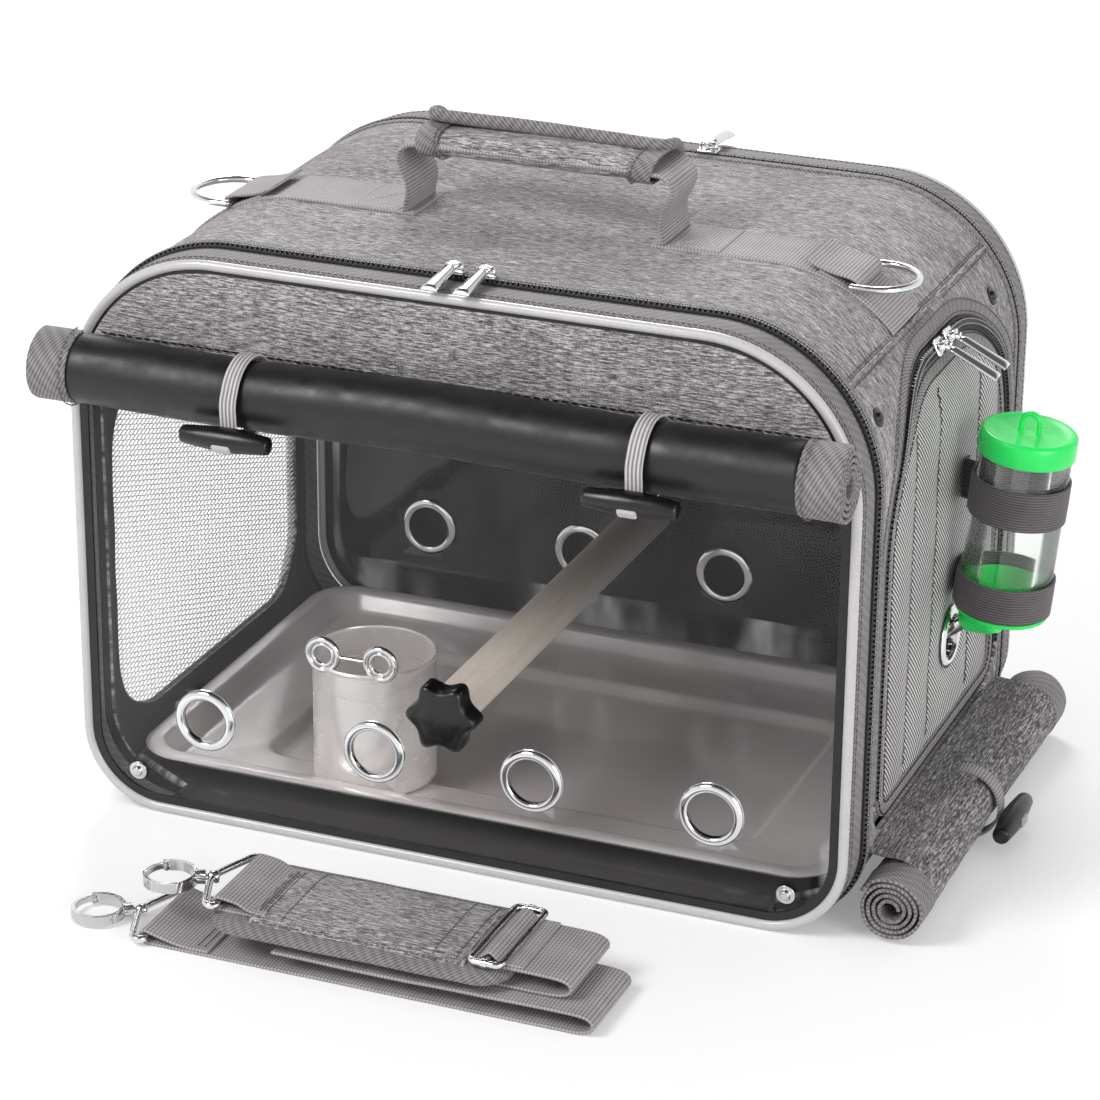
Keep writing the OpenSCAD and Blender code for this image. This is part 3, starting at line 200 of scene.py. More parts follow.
def smooth_line(points: Sequence[Sequence[float]], step: float = 2.0, closed_line: bool = False) -> list[Vector]:
    """Draws an even smooth line through points.

    Args:
        points: The points that it passes through.
        step: Distance between its own points.
        closed_line: Whether it comes back to its start.

    Returns:
        The line's points.
    """
    knots = [Vector(p) for p in points]
    count = len(knots)
    fine: list[Vector] = []
    for i in range(count if closed_line else count - 1):
        pick = [knots[(i + k) % count] if closed_line else knots[min(max(i + k, 0), count - 1)]
                for k in (-1, 0, 1, 2)]
        for j in range(12):
            t = j / 12
            fine.append(0.5 * (2 * pick[1] + (pick[2] - pick[0]) * t
                               + (2 * pick[0] - 5 * pick[1] + 4 * pick[2] - pick[3]) * t * t
                               + (3 * pick[1] - pick[0] - 3 * pick[2] + pick[3]) * t * t * t))
    fine.append(knots[0 if closed_line else -1].copy())
    return even_line(fine, step)


def even_line(points: Sequence[Vector], step: float) -> list[Vector]:
    """Spaces points evenly along a line, about a step apart."""
    lengths = [0.0]
    for a, b in zip(points, points[1:]):
        lengths.append(lengths[-1] + (b - a).length)
    count = max(2, round(lengths[-1] / step))
    spaced, j = [], 0
    for i in range(count + 1):
        s = lengths[-1] * i / count
        while j < len(points) - 2 and lengths[j + 1] < s:
            j += 1
        span = lengths[j + 1] - lengths[j]
        spaced.append(points[j].lerp(points[j + 1], (s - lengths[j]) / span if span else 0.0))
    return spaced


@dataclass
class Route:
    """A line through space that carries a frame along it.

    With side given, the frame's first axis is as near to that direction as the line allows. Otherwise it is carried
    along without a twist.
    """

    points: Sequence[Vector]
    side: Vector | Callable[[int], Vector] | None = None
    loop: bool = False

    def __post_init__(self) -> None:
        """Works out the tangents, the frames and the lengths."""
        n = len(self.points)
        self.lengths = [0.0]
        for a, b in zip(self.points, self.points[1:]):
            self.lengths.append(self.lengths[-1] + (b - a).length)
        self.ahead, self.across = [], []
        for i in range(n):
            before, after = (i - 1, (i + 1) % n) if self.loop else (max(i - 1, 0), min(i + 1, n - 1))
            a, b = self.points[before], self.points[after]
            self.ahead.append((b - a).normalized())
            last = self.across[-1] if self.across else self.ahead[0].orthogonal()
            wish = self.side(i) if callable(self.side) else self.side or last
            self.across.append((wish - self.ahead[-1] * wish.dot(self.ahead[-1])).normalized())

    @property
    def length(self) -> float:
        """The route's whole length."""
        return self.lengths[-1] + ((self.points[0] - self.points[-1]).length if self.loop else 0.0)

    def frame(self, i: int) -> tuple[Vector, Vector, Vector, Vector]:
        """Gives a point with the axes across, up and ahead."""
        return self.points[i], self.across[i], self.ahead[i].cross(self.across[i]), self.ahead[i]

    def sweep(self, profile: Profile | Callable[[int], Profile], open_profile: bool = False) -> Shape:
        """Carries a profile along the route.

        Args:
            profile: Points (across, up), or a function that gives them at each point of the route.
            open_profile: Whether the profile is a sheet's edge and not a closed loop.

        Returns:
            The swept skin, closed at its ends unless the route or the profile says otherwise.
        """
        n = len(self.points)
        cuts = [profile(i) for i in range(n)] if callable(profile) else [profile] * n
        m = len(cuts[0])
        nu, nv = (n if self.loop else n - 1), (m - 1 if open_profile else m)
        rim = [0.0]
        for k in range(nv):
            a, b = cuts[0][k], cuts[0][(k + 1) % m]
            rim.append(rim[-1] + dist(a, b))

        def place(u: float, v: float) -> Vector:
            i, k = round(u * nu) % n, round(v * nv) % m
            point, across, up, _ = self.frame(i)
            return point + across * cuts[i][k][0] + up * cuts[i][k][1]

        def flat(u: float, v: float) -> tuple[float, float]:
            i = round(u * nu)
            return (self.lengths[i] if i < n else self.length), rim[round(v * nv)]

        shape = mapped(nu, nv, place, flat, merge=self.loop or not open_profile)
        if not open_profile:
            closed(shape)
        return shape

    def tube(self, radius: float, sides: int = 12) -> Shape:
        """Makes a round tube along the route."""
        return self.sweep(oval(radius, radius, sides))

    def band(self, width: float, thick: float) -> Shape:
        """Makes a flat band along the route, its width along the frame's first axis and its edges rounded."""
        w, t = width / 2, thick / 2
        return self.sweep([(-w, 0), (-w + t * 0.6, -t), (-w / 3, -t), (w / 3, -t), (w - t * 0.6, -t), (w, 0),
                           (w - t * 0.6, t), (w / 3, t), (-w / 3, t), (-w + t * 0.6, t)])

    def every(self, pitch: float, start: float = 0.0, end: float = 0.0) -> list[Matrix]:
        """Gives a frame at every pitch of length, with X ahead, Y across and Z up."""
        frames, total = [], self.length - start - end
        count = max(1, int(total / pitch))
        j = 0
        for i in range(count):
            s = start + total * (i + 0.5) / count
            while j < len(self.lengths) - 2 and self.lengths[j + 1] < s:
                j += 1
            t = (s - self.lengths[j]) / max(self.lengths[j + 1] - self.lengths[j], 1e-9)
            point, across, up, ahead = self.frame(j)
            place = point.lerp(self.points[j + 1], t)
            frames.append(Matrix.Translation(place) @ Matrix((ahead, across, up)).transposed().to_4x4())
        return frames

    def shifted(self, across: float, up: float) -> "Route":
        """Gives a route beside this one."""
        points = [p + a * across + t.cross(a) * up for p, a, t in zip(self.points, self.across, self.ahead)]
        return Route(points, lambda i: self.across[i], self.loop)


def straight(a: Sequence[float], b: Sequence[float], count: int, side: Vector) -> Route:
    """Gives a straight route of so many equal lengths between two points."""
    a, b = Vector(a), Vector(b)
    return Route([a.lerp(b, k / count) for k in range(count + 1)], side)


def stitches(route: Route, pitch: float = 3.2, width: float = 0.55, tall: float = 0.5, start: float = 0.0,
             end: float = 0.0) -> Shape:
    """Sews a line of stitches along a route, each a small rounded thread that dips at its ends."""
    shape = bmesh.new()
    for matrix in route.every(pitch, start, end):
        made = bmesh.ops.create_cube(shape, size=1.0, matrix=matrix @ Matrix.Diagonal((pitch * 0.74, width, tall, 1)))
        low = matrix.translation
        up = matrix.col[2].to_3d()
        for vert in made["verts"]:
            if (vert.co - low).dot(up) > 0:
                vert.co = vert.co.lerp(low + up * tall / 2, 0.35)
    return shape


def twin_rows(route: Route, level: float, gap: float, pitch: float = 3.0, width: float = 0.55,
              tall: float = 0.5) -> Shape:
    """Sews two rows of stitches, one on either side of a route, at a level along its first axis."""
    return gather(*[stitches(route.shifted(level, side), pitch, width, tall) for side in (-gap, gap)])


def soften_copy(node: str, soften: float = 0.0, cuts: Sequence[float] = (0, 0, 0),
                move: Callable[[Vector], Vector] | None = None) -> Shape:
    """Copies a node of the frame as a merged shape to be worked on.

    Args:
        node: The node's name.
        soften: How far its sharp edges are rounded.
        cuts: Distance between the cuts that part its faces along X, Y and Z, or 0 for none.
        move: Gives how far each point moves.

    Returns:
        The copy in millimetres.
    """
    shape = bmesh.new()
    shape.from_mesh(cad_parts[node].data)
    bmesh.ops.scale(shape, vec=(1 / MM,) * 3, verts=shape.verts)
    bmesh.ops.remove_doubles(shape, verts=shape.verts, dist=2e-3)
    bmesh.ops.dissolve_limit(shape, angle_limit=radians(1.5), verts=shape.verts, edges=shape.edges)
    if soften:
        sharp = [e for e in shape.edges if len(e.link_faces) == 2 and e.calc_face_angle(0.0) > radians(32)]
        bmesh.ops.bevel(shape, geom=sharp, offset=soften, affect="EDGES", segments=2, profile=0.5, material=-1,
                        clamp_overlap=True)
    low, high = span_of(node)
    for axis, step in enumerate(cuts):
        if step:
            count = max(1, round((high[axis] - low[axis]) / step))
            for k in range(1, count):
                point, normal = Vector((0, 0, 0)), Vector((0, 0, 0))
                point[axis] = low[axis] + (high[axis] - low[axis]) * k / count
                normal[axis] = 1
                bmesh.ops.bisect_plane(shape, geom=shape.verts[:] + shape.edges[:] + shape.faces[:], plane_co=point,
                                       plane_no=normal)
    if move:
        shape.normal_update()
        for vert in shape.verts:
            vert.co += move(vert.co.copy())
    cloth = shape.loops.layers.uv.verify()
    for face in shape.faces:
        flat_axes = [(1, 2), (0, 2), (0, 1)][max(range(3), key=lambda a: abs(face.normal[a]))]
        for corner in face.loops:
            corner[cloth].uv = tuple(corner.vert.co[a] * MM for a in flat_axes)
    return shape


def span_of(node: str) -> tuple[Vector, Vector]:
    """Gives the lowest and highest corner of a node's box in millimetres."""
    low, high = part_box(node)
    return Vector(low) / MM, Vector(high) / MM


# ---- Finishes ----


class Along(Enum):
    """What a finish's pattern follows: the piece's place in the carrier, or its own cut cloth."""

    PLACE = "Object"
    CLOTH = "UV"


class Graph:
    """A node tree with short ways to wire it."""

    def __init__(self, tree: bpy.types.NodeTree, surface: str, coordinates: str) -> None:
        """Takes a tree with the node that it ends in, and the coordinates that its patterns follow."""
        self.tree = tree
        self.shader = tree.nodes[surface]
        self.point = tree.nodes.new("ShaderNodeTexCoord").outputs[coordinates]

    def add(self, kind: str, *sources: object, **settings: object) -> bpy.types.Node:
        """Adds a node, sets its options, and joins or sets its first inputs in order."""
        node = self.tree.nodes.new("ShaderNode" + kind)
        for key, value in settings.items():
            setattr(node, key, value)
        for socket, source in zip(node.inputs, sources):
            self.join(source, socket)
        return node

    def join(self, source: object, socket: Socket) -> None:
        """Links an output to a socket, or sets the socket's own value."""
        if isinstance(source, Socket):
            self.tree.links.new(source, socket)
        elif source is not None:
            socket.default_value = source

    def surface(self, **values: object) -> None:
        """Sets or links the shader's sockets, whose names have spaces for underscores."""
        for key, value in values.items():
            key = key.replace("colour", "Color").replace("Colour", "Color")
            self.join(value, self.shader.inputs[key.replace("_", " ")])

    def stretched(self, scale: Sequence[float], turn: float = 0.0) -> Socket:
        """Gives the coordinates scaled along each axis after a turn about Z."""
        point = self.point
        if turn:
            point = self.add("Mapping", point, None, (0.0, 0.0, radians(turn))).outputs[0]
        return self.add("Mapping", point, None, None, tuple(scale)).outputs[0]

    def noise(self, scale: Sequence[float], detail: float = 2.0, turn: float = 0.0, offset: float = 0.0) -> Socket:
        """Gives an uneven value about 0.5 whose features are 1 / scale metres large along each axis."""
        point = self.stretched(scale, turn)
        if offset:
            point = self.add("Mapping", point, (offset, offset * 1.7, offset * 0.3)).outputs[0]
        node = self.add("TexNoise", point)
        node.inputs["Scale"].default_value = 1.0
        node.inputs["Detail"].default_value = detail
        return node.outputs[0]

    def wave(self, pitch: float, turn: float = 0.0, axis: int = 0, wobble: float = 0.0) -> Socket:
        """Gives ribs from 0 to 1 with a pitch in millimetres across an axis."""
        point = self.stretched((1, 1, 1), turn)
        split = self.add("SeparateXYZ", point).outputs[axis]
        if wobble:
            split = self.sum(split, self.times(self.noise((120, 120, 120)), wobble * MM))
        sine = self.calc("SINE", self.times(split, 2 * pi / (pitch * MM)))
        return self.add("Math", sine, 0.5, 0.5, operation="MULTIPLY_ADD").outputs[0]

    def calc(self, operation: str, *sources: object) -> Socket:
        """Adds a math node and gives its result."""
        return self.add("Math", *sources, operation=operation).outputs[0]

    def times(self, a: object, b: object) -> Socket:
        """Multiplies two values."""
        return self.calc("MULTIPLY", a, b)

    def sum(self, a: object, b: object) -> Socket:
        """Adds two values."""
        return self.calc("ADD", a, b)

    def weigh(self, *parts: tuple[Socket, float]) -> Socket:
        """Adds values, each times its own weight."""
        whole = self.times(*parts[0])
        for part in parts[1:]:
            whole = self.sum(whole, self.times(*part))
        return whole

    def ramp(self, value: Socket, *stops: tuple[float, Colour]) -> Socket:
        """Turns a value to a colour between stops."""
        node = self.add("ValToRGB", value)
        marks = node.color_ramp.elements
        while len(marks) < len(stops):
            marks.new(0.5)
        for mark, (place, colour) in zip(marks, stops):
            mark.position = place
            mark.color = (*colour, 1)
        return node.outputs[0]

    def range(self, value: Socket, low: float, high: object, start: float = 0.0, end: float = 1.0) -> Socket:
        """Maps a value from start and end to low and high."""
        return self.add("MapRange", value, start, end, low, high).outputs[0]

    def mix(self, share: object, a: object, b: object, blend: str = "MIX") -> Socket:
        """Mixes two colours."""
        node = self.add("Mix", data_type="RGBA", blend_type=blend)
        for socket, source in zip([node.inputs[0], node.inputs[6], node.inputs[7]], (share, a, b)):
            self.join((*source, 1.0) if isinstance(source, tuple) and len(source) == 3 else source, socket)
        return node.outputs[2]

    def bump(self, height: Socket, depth: float, strength: float = 1.0) -> None:
        """Raises the surface by a height times a depth in millimetres."""
        node = self.add("Bump", strength, depth * MM)
        self.join(height, node.inputs["Height"])
        self.join(node.outputs[0], self.shader.inputs["Normal"])


class Nodes(Graph):
    """A new material's node tree."""

    def __init__(self, name: str, along: Along) -> None:
        """Starts a material whose patterns follow a set of coordinates."""
        self.material = bpy.data.materials.new(name)
        self.material.use_nodes = True
        super().__init__(self.material.node_tree, "Principled BSDF", along.value)


def shaded(colour: Colour, share: float, lift: float = 0.0) -> Colour:
    """Gives a share of a colour, lifted by an even grey."""
    return tuple(c * share + lift for c in colour)


@dataclass(frozen=True)
class Melange:
    """Heather cloth of two-coloured yarn, its slubs lying along the cloth."""

    name: str
    dark: Colour
    body: Colour
    light: Colour
    along: Along = Along.CLOTH
    turn: float = 0.0

    def build(self) -> bpy.types.Material:
        """Makes the material."""
        n = Nodes(self.name, self.along)
        fine = n.noise((230, 2100, 2100), 2.0, self.turn)
        slub = n.noise((80, 1100, 1100), 2.0, self.turn, 3.1)
        cross = n.noise((1300, 800, 800), 2.0, self.turn, 5.7)
        cloud = n.noise((14, 30, 30), 2.0, self.turn, 1.3)
        tone = n.weigh((fine, 0.46), (slub, 0.3), (cross, 0.16), (cloud, 0.08))
        blend = tuple(0.55 * d + 0.45 * b for d, b in zip(self.dark, self.body))
        colour = n.ramp(tone, (0.39, self.dark), (0.455, blend), (0.505, self.body), (0.59, self.light))
        weave = n.times(n.wave(0.85, self.turn, 0, 0.3), n.wave(0.75, self.turn, 1, 0.3))
        n.bump(n.weigh((weave, 0.6), (fine, 0.8)), 0.22)
        n.surface(Base_colour=colour, Roughness=n.range(fine, 0.72, 0.92), Sheen_Weight=0.18, Sheen_Roughness=0.45,
                  Specular_IOR_Level=0.25)
        return n.material


@dataclass(frozen=True)
class Woven:
    """Tape, webbing or elastic with ribs across it and finer ones along it."""

    name: str
    low: Colour
    high: Colour
    rib: float
    line: float
    turn: float = 0.0
    depth: float = 0.35
    along: Along = Along.CLOTH
    gloss: float = 0.6

    def build(self) -> bpy.types.Material:
        """Makes the material."""
        n = Nodes(self.name, self.along)
        ribs = n.wave(self.rib, self.turn, 0, 0.25)
        lines = n.wave(self.line, self.turn, 1, 0.2)
        wear = n.noise((60, 60, 60), 3.0)
        share = 0.72 if self.rib < 10 else 0.1
        height = n.weigh((ribs, share), (lines, 1 - share))
        colour = n.mix(n.range(n.weigh((height, 0.75), (wear, 0.5)), 0.0, 1.0, 0.2, 1.0), self.low, self.high)
        n.bump(height, self.depth)
        n.surface(Base_colour=colour, Roughness=n.range(wear, self.gloss - 0.1, self.gloss + 0.1), Sheen_Weight=0.12,
                  Specular_IOR_Level=0.35)
        return n.material


@dataclass(frozen=True)
class Knit:
    """Open mesh cloth in twill rows, lighter where the yarn lies on top, with a painted sheen that brightens it in
    soft patches.
    """

    name: str
    low: Colour
    high: Colour
    along: Along = Along.CLOTH

    def build(self) -> bpy.types.Material:
        """Makes the material."""
        n = Nodes(self.name, self.along)
        rows = n.wave(1.83, -41, 0, 0.2)
        counter = n.wave(1.1, -41, 1, 0.2)
        lace = n.times(rows, n.range(counter, 0.6, 1.0))
        # Painted sheen: in these soft noise patches the yarn's top colour is brightened up to 1.7 times; they also
        # vary the roughness.
        painted_sheen_patches = n.noise((14, 5, 9), 2.0)
        bright = n.mix(n.range(painted_sheen_patches, 0.0, 1.0, 0.3, 0.7), self.high, tuple(min(1.0, c * 1.7) for c in self.high))
        colour = n.mix(n.range(lace, 0.0, 1.0, 0.2, 0.7), self.low, bright)
        n.bump(lace, 0.4)
        n.surface(Base_colour=colour, Roughness=n.range(painted_sheen_patches, 0.42, 0.62), Specular_IOR_Level=0.5)
        return n.material


@dataclass(frozen=True)
class Moulded:
    """Plastic, film or rubber, plain with fine unevenness and small scuffs."""

    name: str
    colour: Colour
    gloss: float
    grain: float = 0.02
    coat: float = 0.0
    glow: float = 0.0

    def build(self) -> bpy.types.Material:
        """Makes the material."""
        n = Nodes(self.name, Along.PLACE)
        uneven = n.noise((90, 90, 90), 3.0)
        fine = n.noise((1300, 1300, 1300), 2.0, offset=2.0)
        scuff = n.noise((300, 1900, 700), 2.0, 25, 4.0)
        shade = n.mix(n.range(uneven, 0.0, 0.5, 0.3, 0.8), self.colour, shaded(self.colour, 0.86))
        colour = n.mix(n.range(scuff, 0.0, 0.22, 0.6, 0.85), shade, shaded(self.colour, 0.8, 0.09))
        n.bump(n.weigh((uneven, 0.7), (fine, 0.3)), self.grain)
        n.surface(Base_colour=colour, Roughness=n.range(uneven, self.gloss * 0.75, self.gloss * 1.25, 0.3, 0.7),
                  Coat_Weight=self.coat, Coat_Roughness=0.08, Subsurface_Weight=self.glow, Subsurface_Scale=0.004)
        return n.material


@dataclass(frozen=True)
class Metal:
    """Plated or drawn metal: brushed along one axis, polished unevenly, with fine wear."""

    name: str
    colour: Colour
    gloss: float
    brush: Sequence[float] = (60, 60, 60)
    uneven: float = 0.03
    share: float = 1.0

    def build(self) -> bpy.types.Material:
        """Makes the material."""
        n = Nodes(self.name, Along.PLACE)
        grain = n.noise(self.brush, 3.0)
        cloud = n.noise((35, 35, 35), 2.0, offset=3.0)
        colour = n.mix(n.range(cloud, 0.0, 0.3, 0.3, 0.7), self.colour, shaded(self.colour, 0.82))
        n.bump(grain, self.uneven)
        n.surface(Base_colour=colour, Metallic=self.share,
                  Roughness=n.range(grain, self.gloss * 0.85, self.gloss * 1.2, 0.3, 0.7))
        return n.material


@dataclass(frozen=True)
class Film:
    """Clear sheet that shows what is behind it and reflects at low angles, or one painted dark as shade for the view
    through it.
    """

    name: str
    colour: Colour
    haze: float
    gloss: float = 0.05
    edge: float = 0.55
    mirror: float = 1.0

    def build(self) -> bpy.types.Material:
        """Makes the material."""
        n = Nodes(self.name, Along.PLACE)
        ripple = n.noise((9, 9, 6), 2.0)
        smear = n.noise((26, 26, 11), 3.0, 20, 6.0)
        facing = n.add("Fresnel", 1.45).outputs[0]
        alpha = n.sum(n.times(facing, self.edge), n.range(smear, self.haze * 0.6, self.haze * 1.5, 0.35, 0.7))
        n.bump(ripple, 2.4)
        n.surface(Base_colour=(*self.colour, 1), Roughness=self.gloss, Alpha=n.calc("MINIMUM", alpha, 0.95),
                  Metallic=self.mirror)
        return n.material


@dataclass(frozen=True)
class Timber:
    """Pale close-grained wood, sanded and oiled."""

    name: str
    pale: Colour
    deep: Colour

    def build(self) -> bpy.types.Material:
        """Makes the material."""
        n = Nodes(self.name, Along.PLACE)
        grain = n.noise((700, 16, 700), 4.0)
        rings = n.noise((130, 7, 130), 2.0, offset=4.0)
        pores = n.noise((2600, 160, 2600), 2.0, offset=9.0)
        colour = n.mix(n.range(n.weigh((grain, 0.55), (rings, 0.45)), 0.0, 1.0, 0.36, 0.64), self.pale, self.deep)
        colour = n.mix(n.range(pores, 0.0, 0.5, 0.62, 0.76), colour, shaded(self.deep, 0.45))
        n.bump(n.sum(grain, pores), 0.05)
        n.surface(Base_colour=colour, Roughness=n.range(grain, 0.42, 0.6), Specular_IOR_Level=0.35)
        return n.material


def grey(value: float, warmth: float = 0.0) -> Colour:
    """Gives a linear grey for a screen value from 0 to 255, warmer where warmth is above 0."""
    lit = (value / 255) ** 2.2
    return (lit * (1 + warmth), lit, lit * (1 + 0.25 * warmth))


YARN = (grey(66, 0.1), grey(141, 0.075), grey(208, 0.05))
FINISHES = {finish.name: finish for finish in (
    Melange("heather", *YARN),
    Melange("heather_side", *YARN, turn=90),
    # A darker copy of the heather: painted shade for the side roll and its link strip, which lie low in the bag's
    # shadow.
    Melange("heather_painted_shade", grey(40, 0.12), grey(112, 0.1), grey(190, 0.07)),
    Melange("heather_place", *YARN, Along.PLACE),
    Woven("lining", grey(40, 0.22), grey(70, 0.18), 1.0, 0.9, depth=0.06, gloss=0.5),
    Woven("twill", grey(80, 0.09), grey(152, 0.08), 1.5, 4.2, turn=52, depth=0.3),
    Woven("webbing", grey(112, 0.09), grey(178, 0.08), 1.7, 2.6, depth=0.28),
    Woven("elastic", grey(96, 0.07), grey(214, 0.06), 30.0, 1.9, depth=0.35, gloss=0.55),
    Woven("band", grey(58, 0.14), grey(112, 0.12), 30.0, 1.35, depth=0.3),
    Knit("mesh_cloth", grey(60, 0.09), grey(218, 0.07)),
    Moulded("thread", grey(186, 0.05), 0.6, 0.05),
    Moulded("seam_thread", grey(96, 0.07), 0.7, 0.05),
    Moulded("net", grey(250), 0.55, 0.05),
    Moulded("chain", grey(40, 0.05), 0.25, 0.02, coat=0.5),
    Woven("chain_tape", grey(22, 0.1), grey(46, 0.1), 1.0, 0.9, depth=0.12),
    Moulded("piping", grey(198, 0.03), 0.28, 0.05, coat=0.4),
    Moulded("edge_tape", grey(26), 0.45, 0.05),
    Film("film", (0.95, 0.94, 0.95), 0.002, edge=0.24),
    # The back film is painted near-black and nearly opaque: painted shade standing in for the dim inside of the bag
    # and the black lining of the shade behind it.
    Film("painted_dark_film", (0.026, 0.021, 0.022), 0.82, edge=0.5, mirror=0.0),
    Metal("chrome", (0.78, 0.78, 0.79), 0.11, (60, 60, 60), 0.02),
    Metal("dull_metal", (0.6, 0.59, 0.58), 0.24, (500, 60, 500), 0.02),
    Metal("steel", (0.93, 0.87, 0.87), 0.2, (26, 300, 300), 0.01, 0.25),
    Metal("brushed", (1.0, 0.96, 0.94), 0.24, (60, 60, 260), 0.002, 0.35),
    Timber("timber", (0.97, 0.88, 0.78), (0.86, 0.76, 0.65)),
    Moulded("black", grey(13), 0.33, 0.03, coat=0.06),
    Moulded("dull_black", grey(30), 0.42, 0.12),
    Moulded("coated", grey(29), 0.42, 0.1),
    Moulded("green", (0.02, 0.88, 0.15), 0.3, 0.03, glow=0.25),
    Film("clear_plastic", (0.92, 0.95, 0.93), 0.012, 0.04, 0.85),
)}


def stand_in_scene(name: str, data: bpy.types.ID, place: Matrix | None = None) -> bpy.types.Object:
    """Adds an object to the scene, at a place if one is given."""
    thing = bpy.data.objects.new(name, data)
    bpy.context.scene.collection.objects.link(thing)
    if place:
        thing.matrix_world = place
    return thing


@dataclass
class Bench:
    """The place where shapes become pieces, with the finishes that they share."""

    finishes: dict[str, bpy.types.Material] = field(default_factory=dict)

    def finish(self, name: str) -> bpy.types.Material:
        """Gives a finish, made the first time that it is asked for."""
        if name not in self.finishes:
            self.finishes[name] = FINISHES[name].build()
        return self.finishes[name]

    def store(self, shape: Shape, name: str, body: str, slot: str, finishes: str, nodes: str = "",
              sharp: float = 38.0) -> bpy.types.Object:
        """Turns a shape into a piece that rides on a body.

        Args:
            shape: The shape in millimetres. It is used up.
            name: The piece's name.
            body: The frame's body that it moves with.
            slot: The record's material slot; not used.
            finishes: Names of its finishes, parted by spaces.
            nodes: Names of the frame's nodes that it stands for, parted by spaces.
            sharp: Angle in degrees over which an edge is sharp.

        Returns:
            The piece's object.
        """
        bmesh.ops.scale(shape, vec=(MM,) * 3, verts=shape.verts)
        mesh = bpy.data.meshes.new(name)
        shape.to_mesh(mesh)
        shape.free()
        mesh.shade_smooth()
        mesh.set_sharp_from_angle(angle=radians(sharp))
        piece = stand_in_scene(name, mesh)
        for finish in finishes.split():
            mesh.materials.append(self.finish(finish))
        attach(piece, body)
        if nodes:
            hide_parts(*nodes.split())
        log.info("%s on %s, %d faces", name, body, len(mesh.polygons))
        return piece

    def hardware(self, node: str, name: str, body: str, slot: str, finish: str,
                 soften: float = 0.25) -> bpy.types.Object:
        """Replaces a rigid node by a merged copy with softened edges."""
        return self.store(soften_copy(node, soften), name, body, slot, finish, node, sharp=45)

    @staticmethod
    def rounded(piece: bpy.types.Object) -> None:
        """Smooths a piece by one level of subdivision."""
        smooth = piece.modifiers.new("smooth", "SUBSURF")
        smooth.levels = smooth.render_levels = 1

    @staticmethod
    def walled(piece: bpy.types.Object, thick: float, inner: int = 0, outward: bool = False) -> bpy.types.Object:
        """Gives a sheet its thickness in millimetres, and its inner face another finish."""
        wall = piece.modifiers.new("wall", "SOLIDIFY")
        wall.thickness = thick * MM
        wall.offset = 1 if outward else -1
        wall.material_offset = inner
        wall.use_even_offset = True
        return piece


# ---- Bag ----


@dataclass
class Outline:
    """The bag's outline seen from the front, followed from the middle of its bottom up the right-hand side."""

    half: float = 200.0
    height: float = 294.0
    top_r: float = 78.0
    low_r: float = 42.0

    def __post_init__(self) -> None:
        """Works out where each stretch ends."""
        self.flat_end = self.half - self.low_r
        self.low_end = self.flat_end + self.low_r * pi / 2
        self.rise_end = self.low_end + self.height - self.top_r - self.low_r
        self.top_end = self.rise_end + self.top_r * pi / 2
        self.length = 2 * (self.top_end + self.half - self.top_r)

    def at(self, s: float) -> tuple[Vector, Vector]:
        """Gives the point at a length along the outline and the way out of the bag there."""
        s %= self.length
        if s > self.length / 2:
            point, out = self.at(self.length - s)
            return Vector((-point.x, 0, point.z)), Vector((-out.x, 0, out.z))
        if s < self.flat_end:
            return Vector((s, 0, 0)), -Z
        if s < self.low_end:
            return self.bend(self.flat_end, self.low_r, self.low_r, (s - self.flat_end) / self.low_r - pi / 2)
        if s < self.rise_end:
            return Vector((self.half, 0, self.low_r + s - self.low_end)), X.copy()
        if s < self.top_end:
            r = self.top_r
            return self.bend(self.half - r, self.height - r, r, (s - self.rise_end) / r)
        return Vector((self.half - self.top_r - s + self.top_end, 0, self.height)), Z.copy()

    @staticmethod
    def bend(x: float, z: float, radius: float, turn: float) -> tuple[Vector, Vector]:
        """Gives the point on a round corner and the way out there."""
        out = Vector((cos(turn), 0, sin(turn)))
        return Vector((x, 0, z)) + out * radius, out

    def place(self, s: float, y: float, out: float = 0.0) -> Vector:
        """Gives the point at a length along the outline, at a depth, and at a distance out of the bag."""
        point, away = self.at(s)
        return point + away * out + Vector((0, y, 0))

    def length_at(self, z: float) -> float:
        """Gives the length along the outline at a height on the right-hand side."""
        if z < self.low_r:
            return self.flat_end + self.low_r * acos(min(1.0, (self.low_r - z) / self.low_r))
        if z < self.height - self.top_r:
            return self.low_end + z - self.low_r
        return self.rise_end + self.top_r * asin(min(1.0, (z - self.height + self.top_r) / self.top_r))

    def route(self, s0: float, s1: float, y: float, out: float, step: float = 2.0) -> Route:
        """Gives a route along the outline whose first axis points out of the bag."""
        count = max(2, round((s1 - s0) / step))
        stops = [s0 + (s1 - s0) * i / count for i in range(count + 1)]
        whole = abs(s1 - s0 - self.length) < 1e-6
        if whole:
            stops.pop()
        return Route([self.place(s, y, out) for s in stops], lambda i: self.at(stops[i])[1], whole)


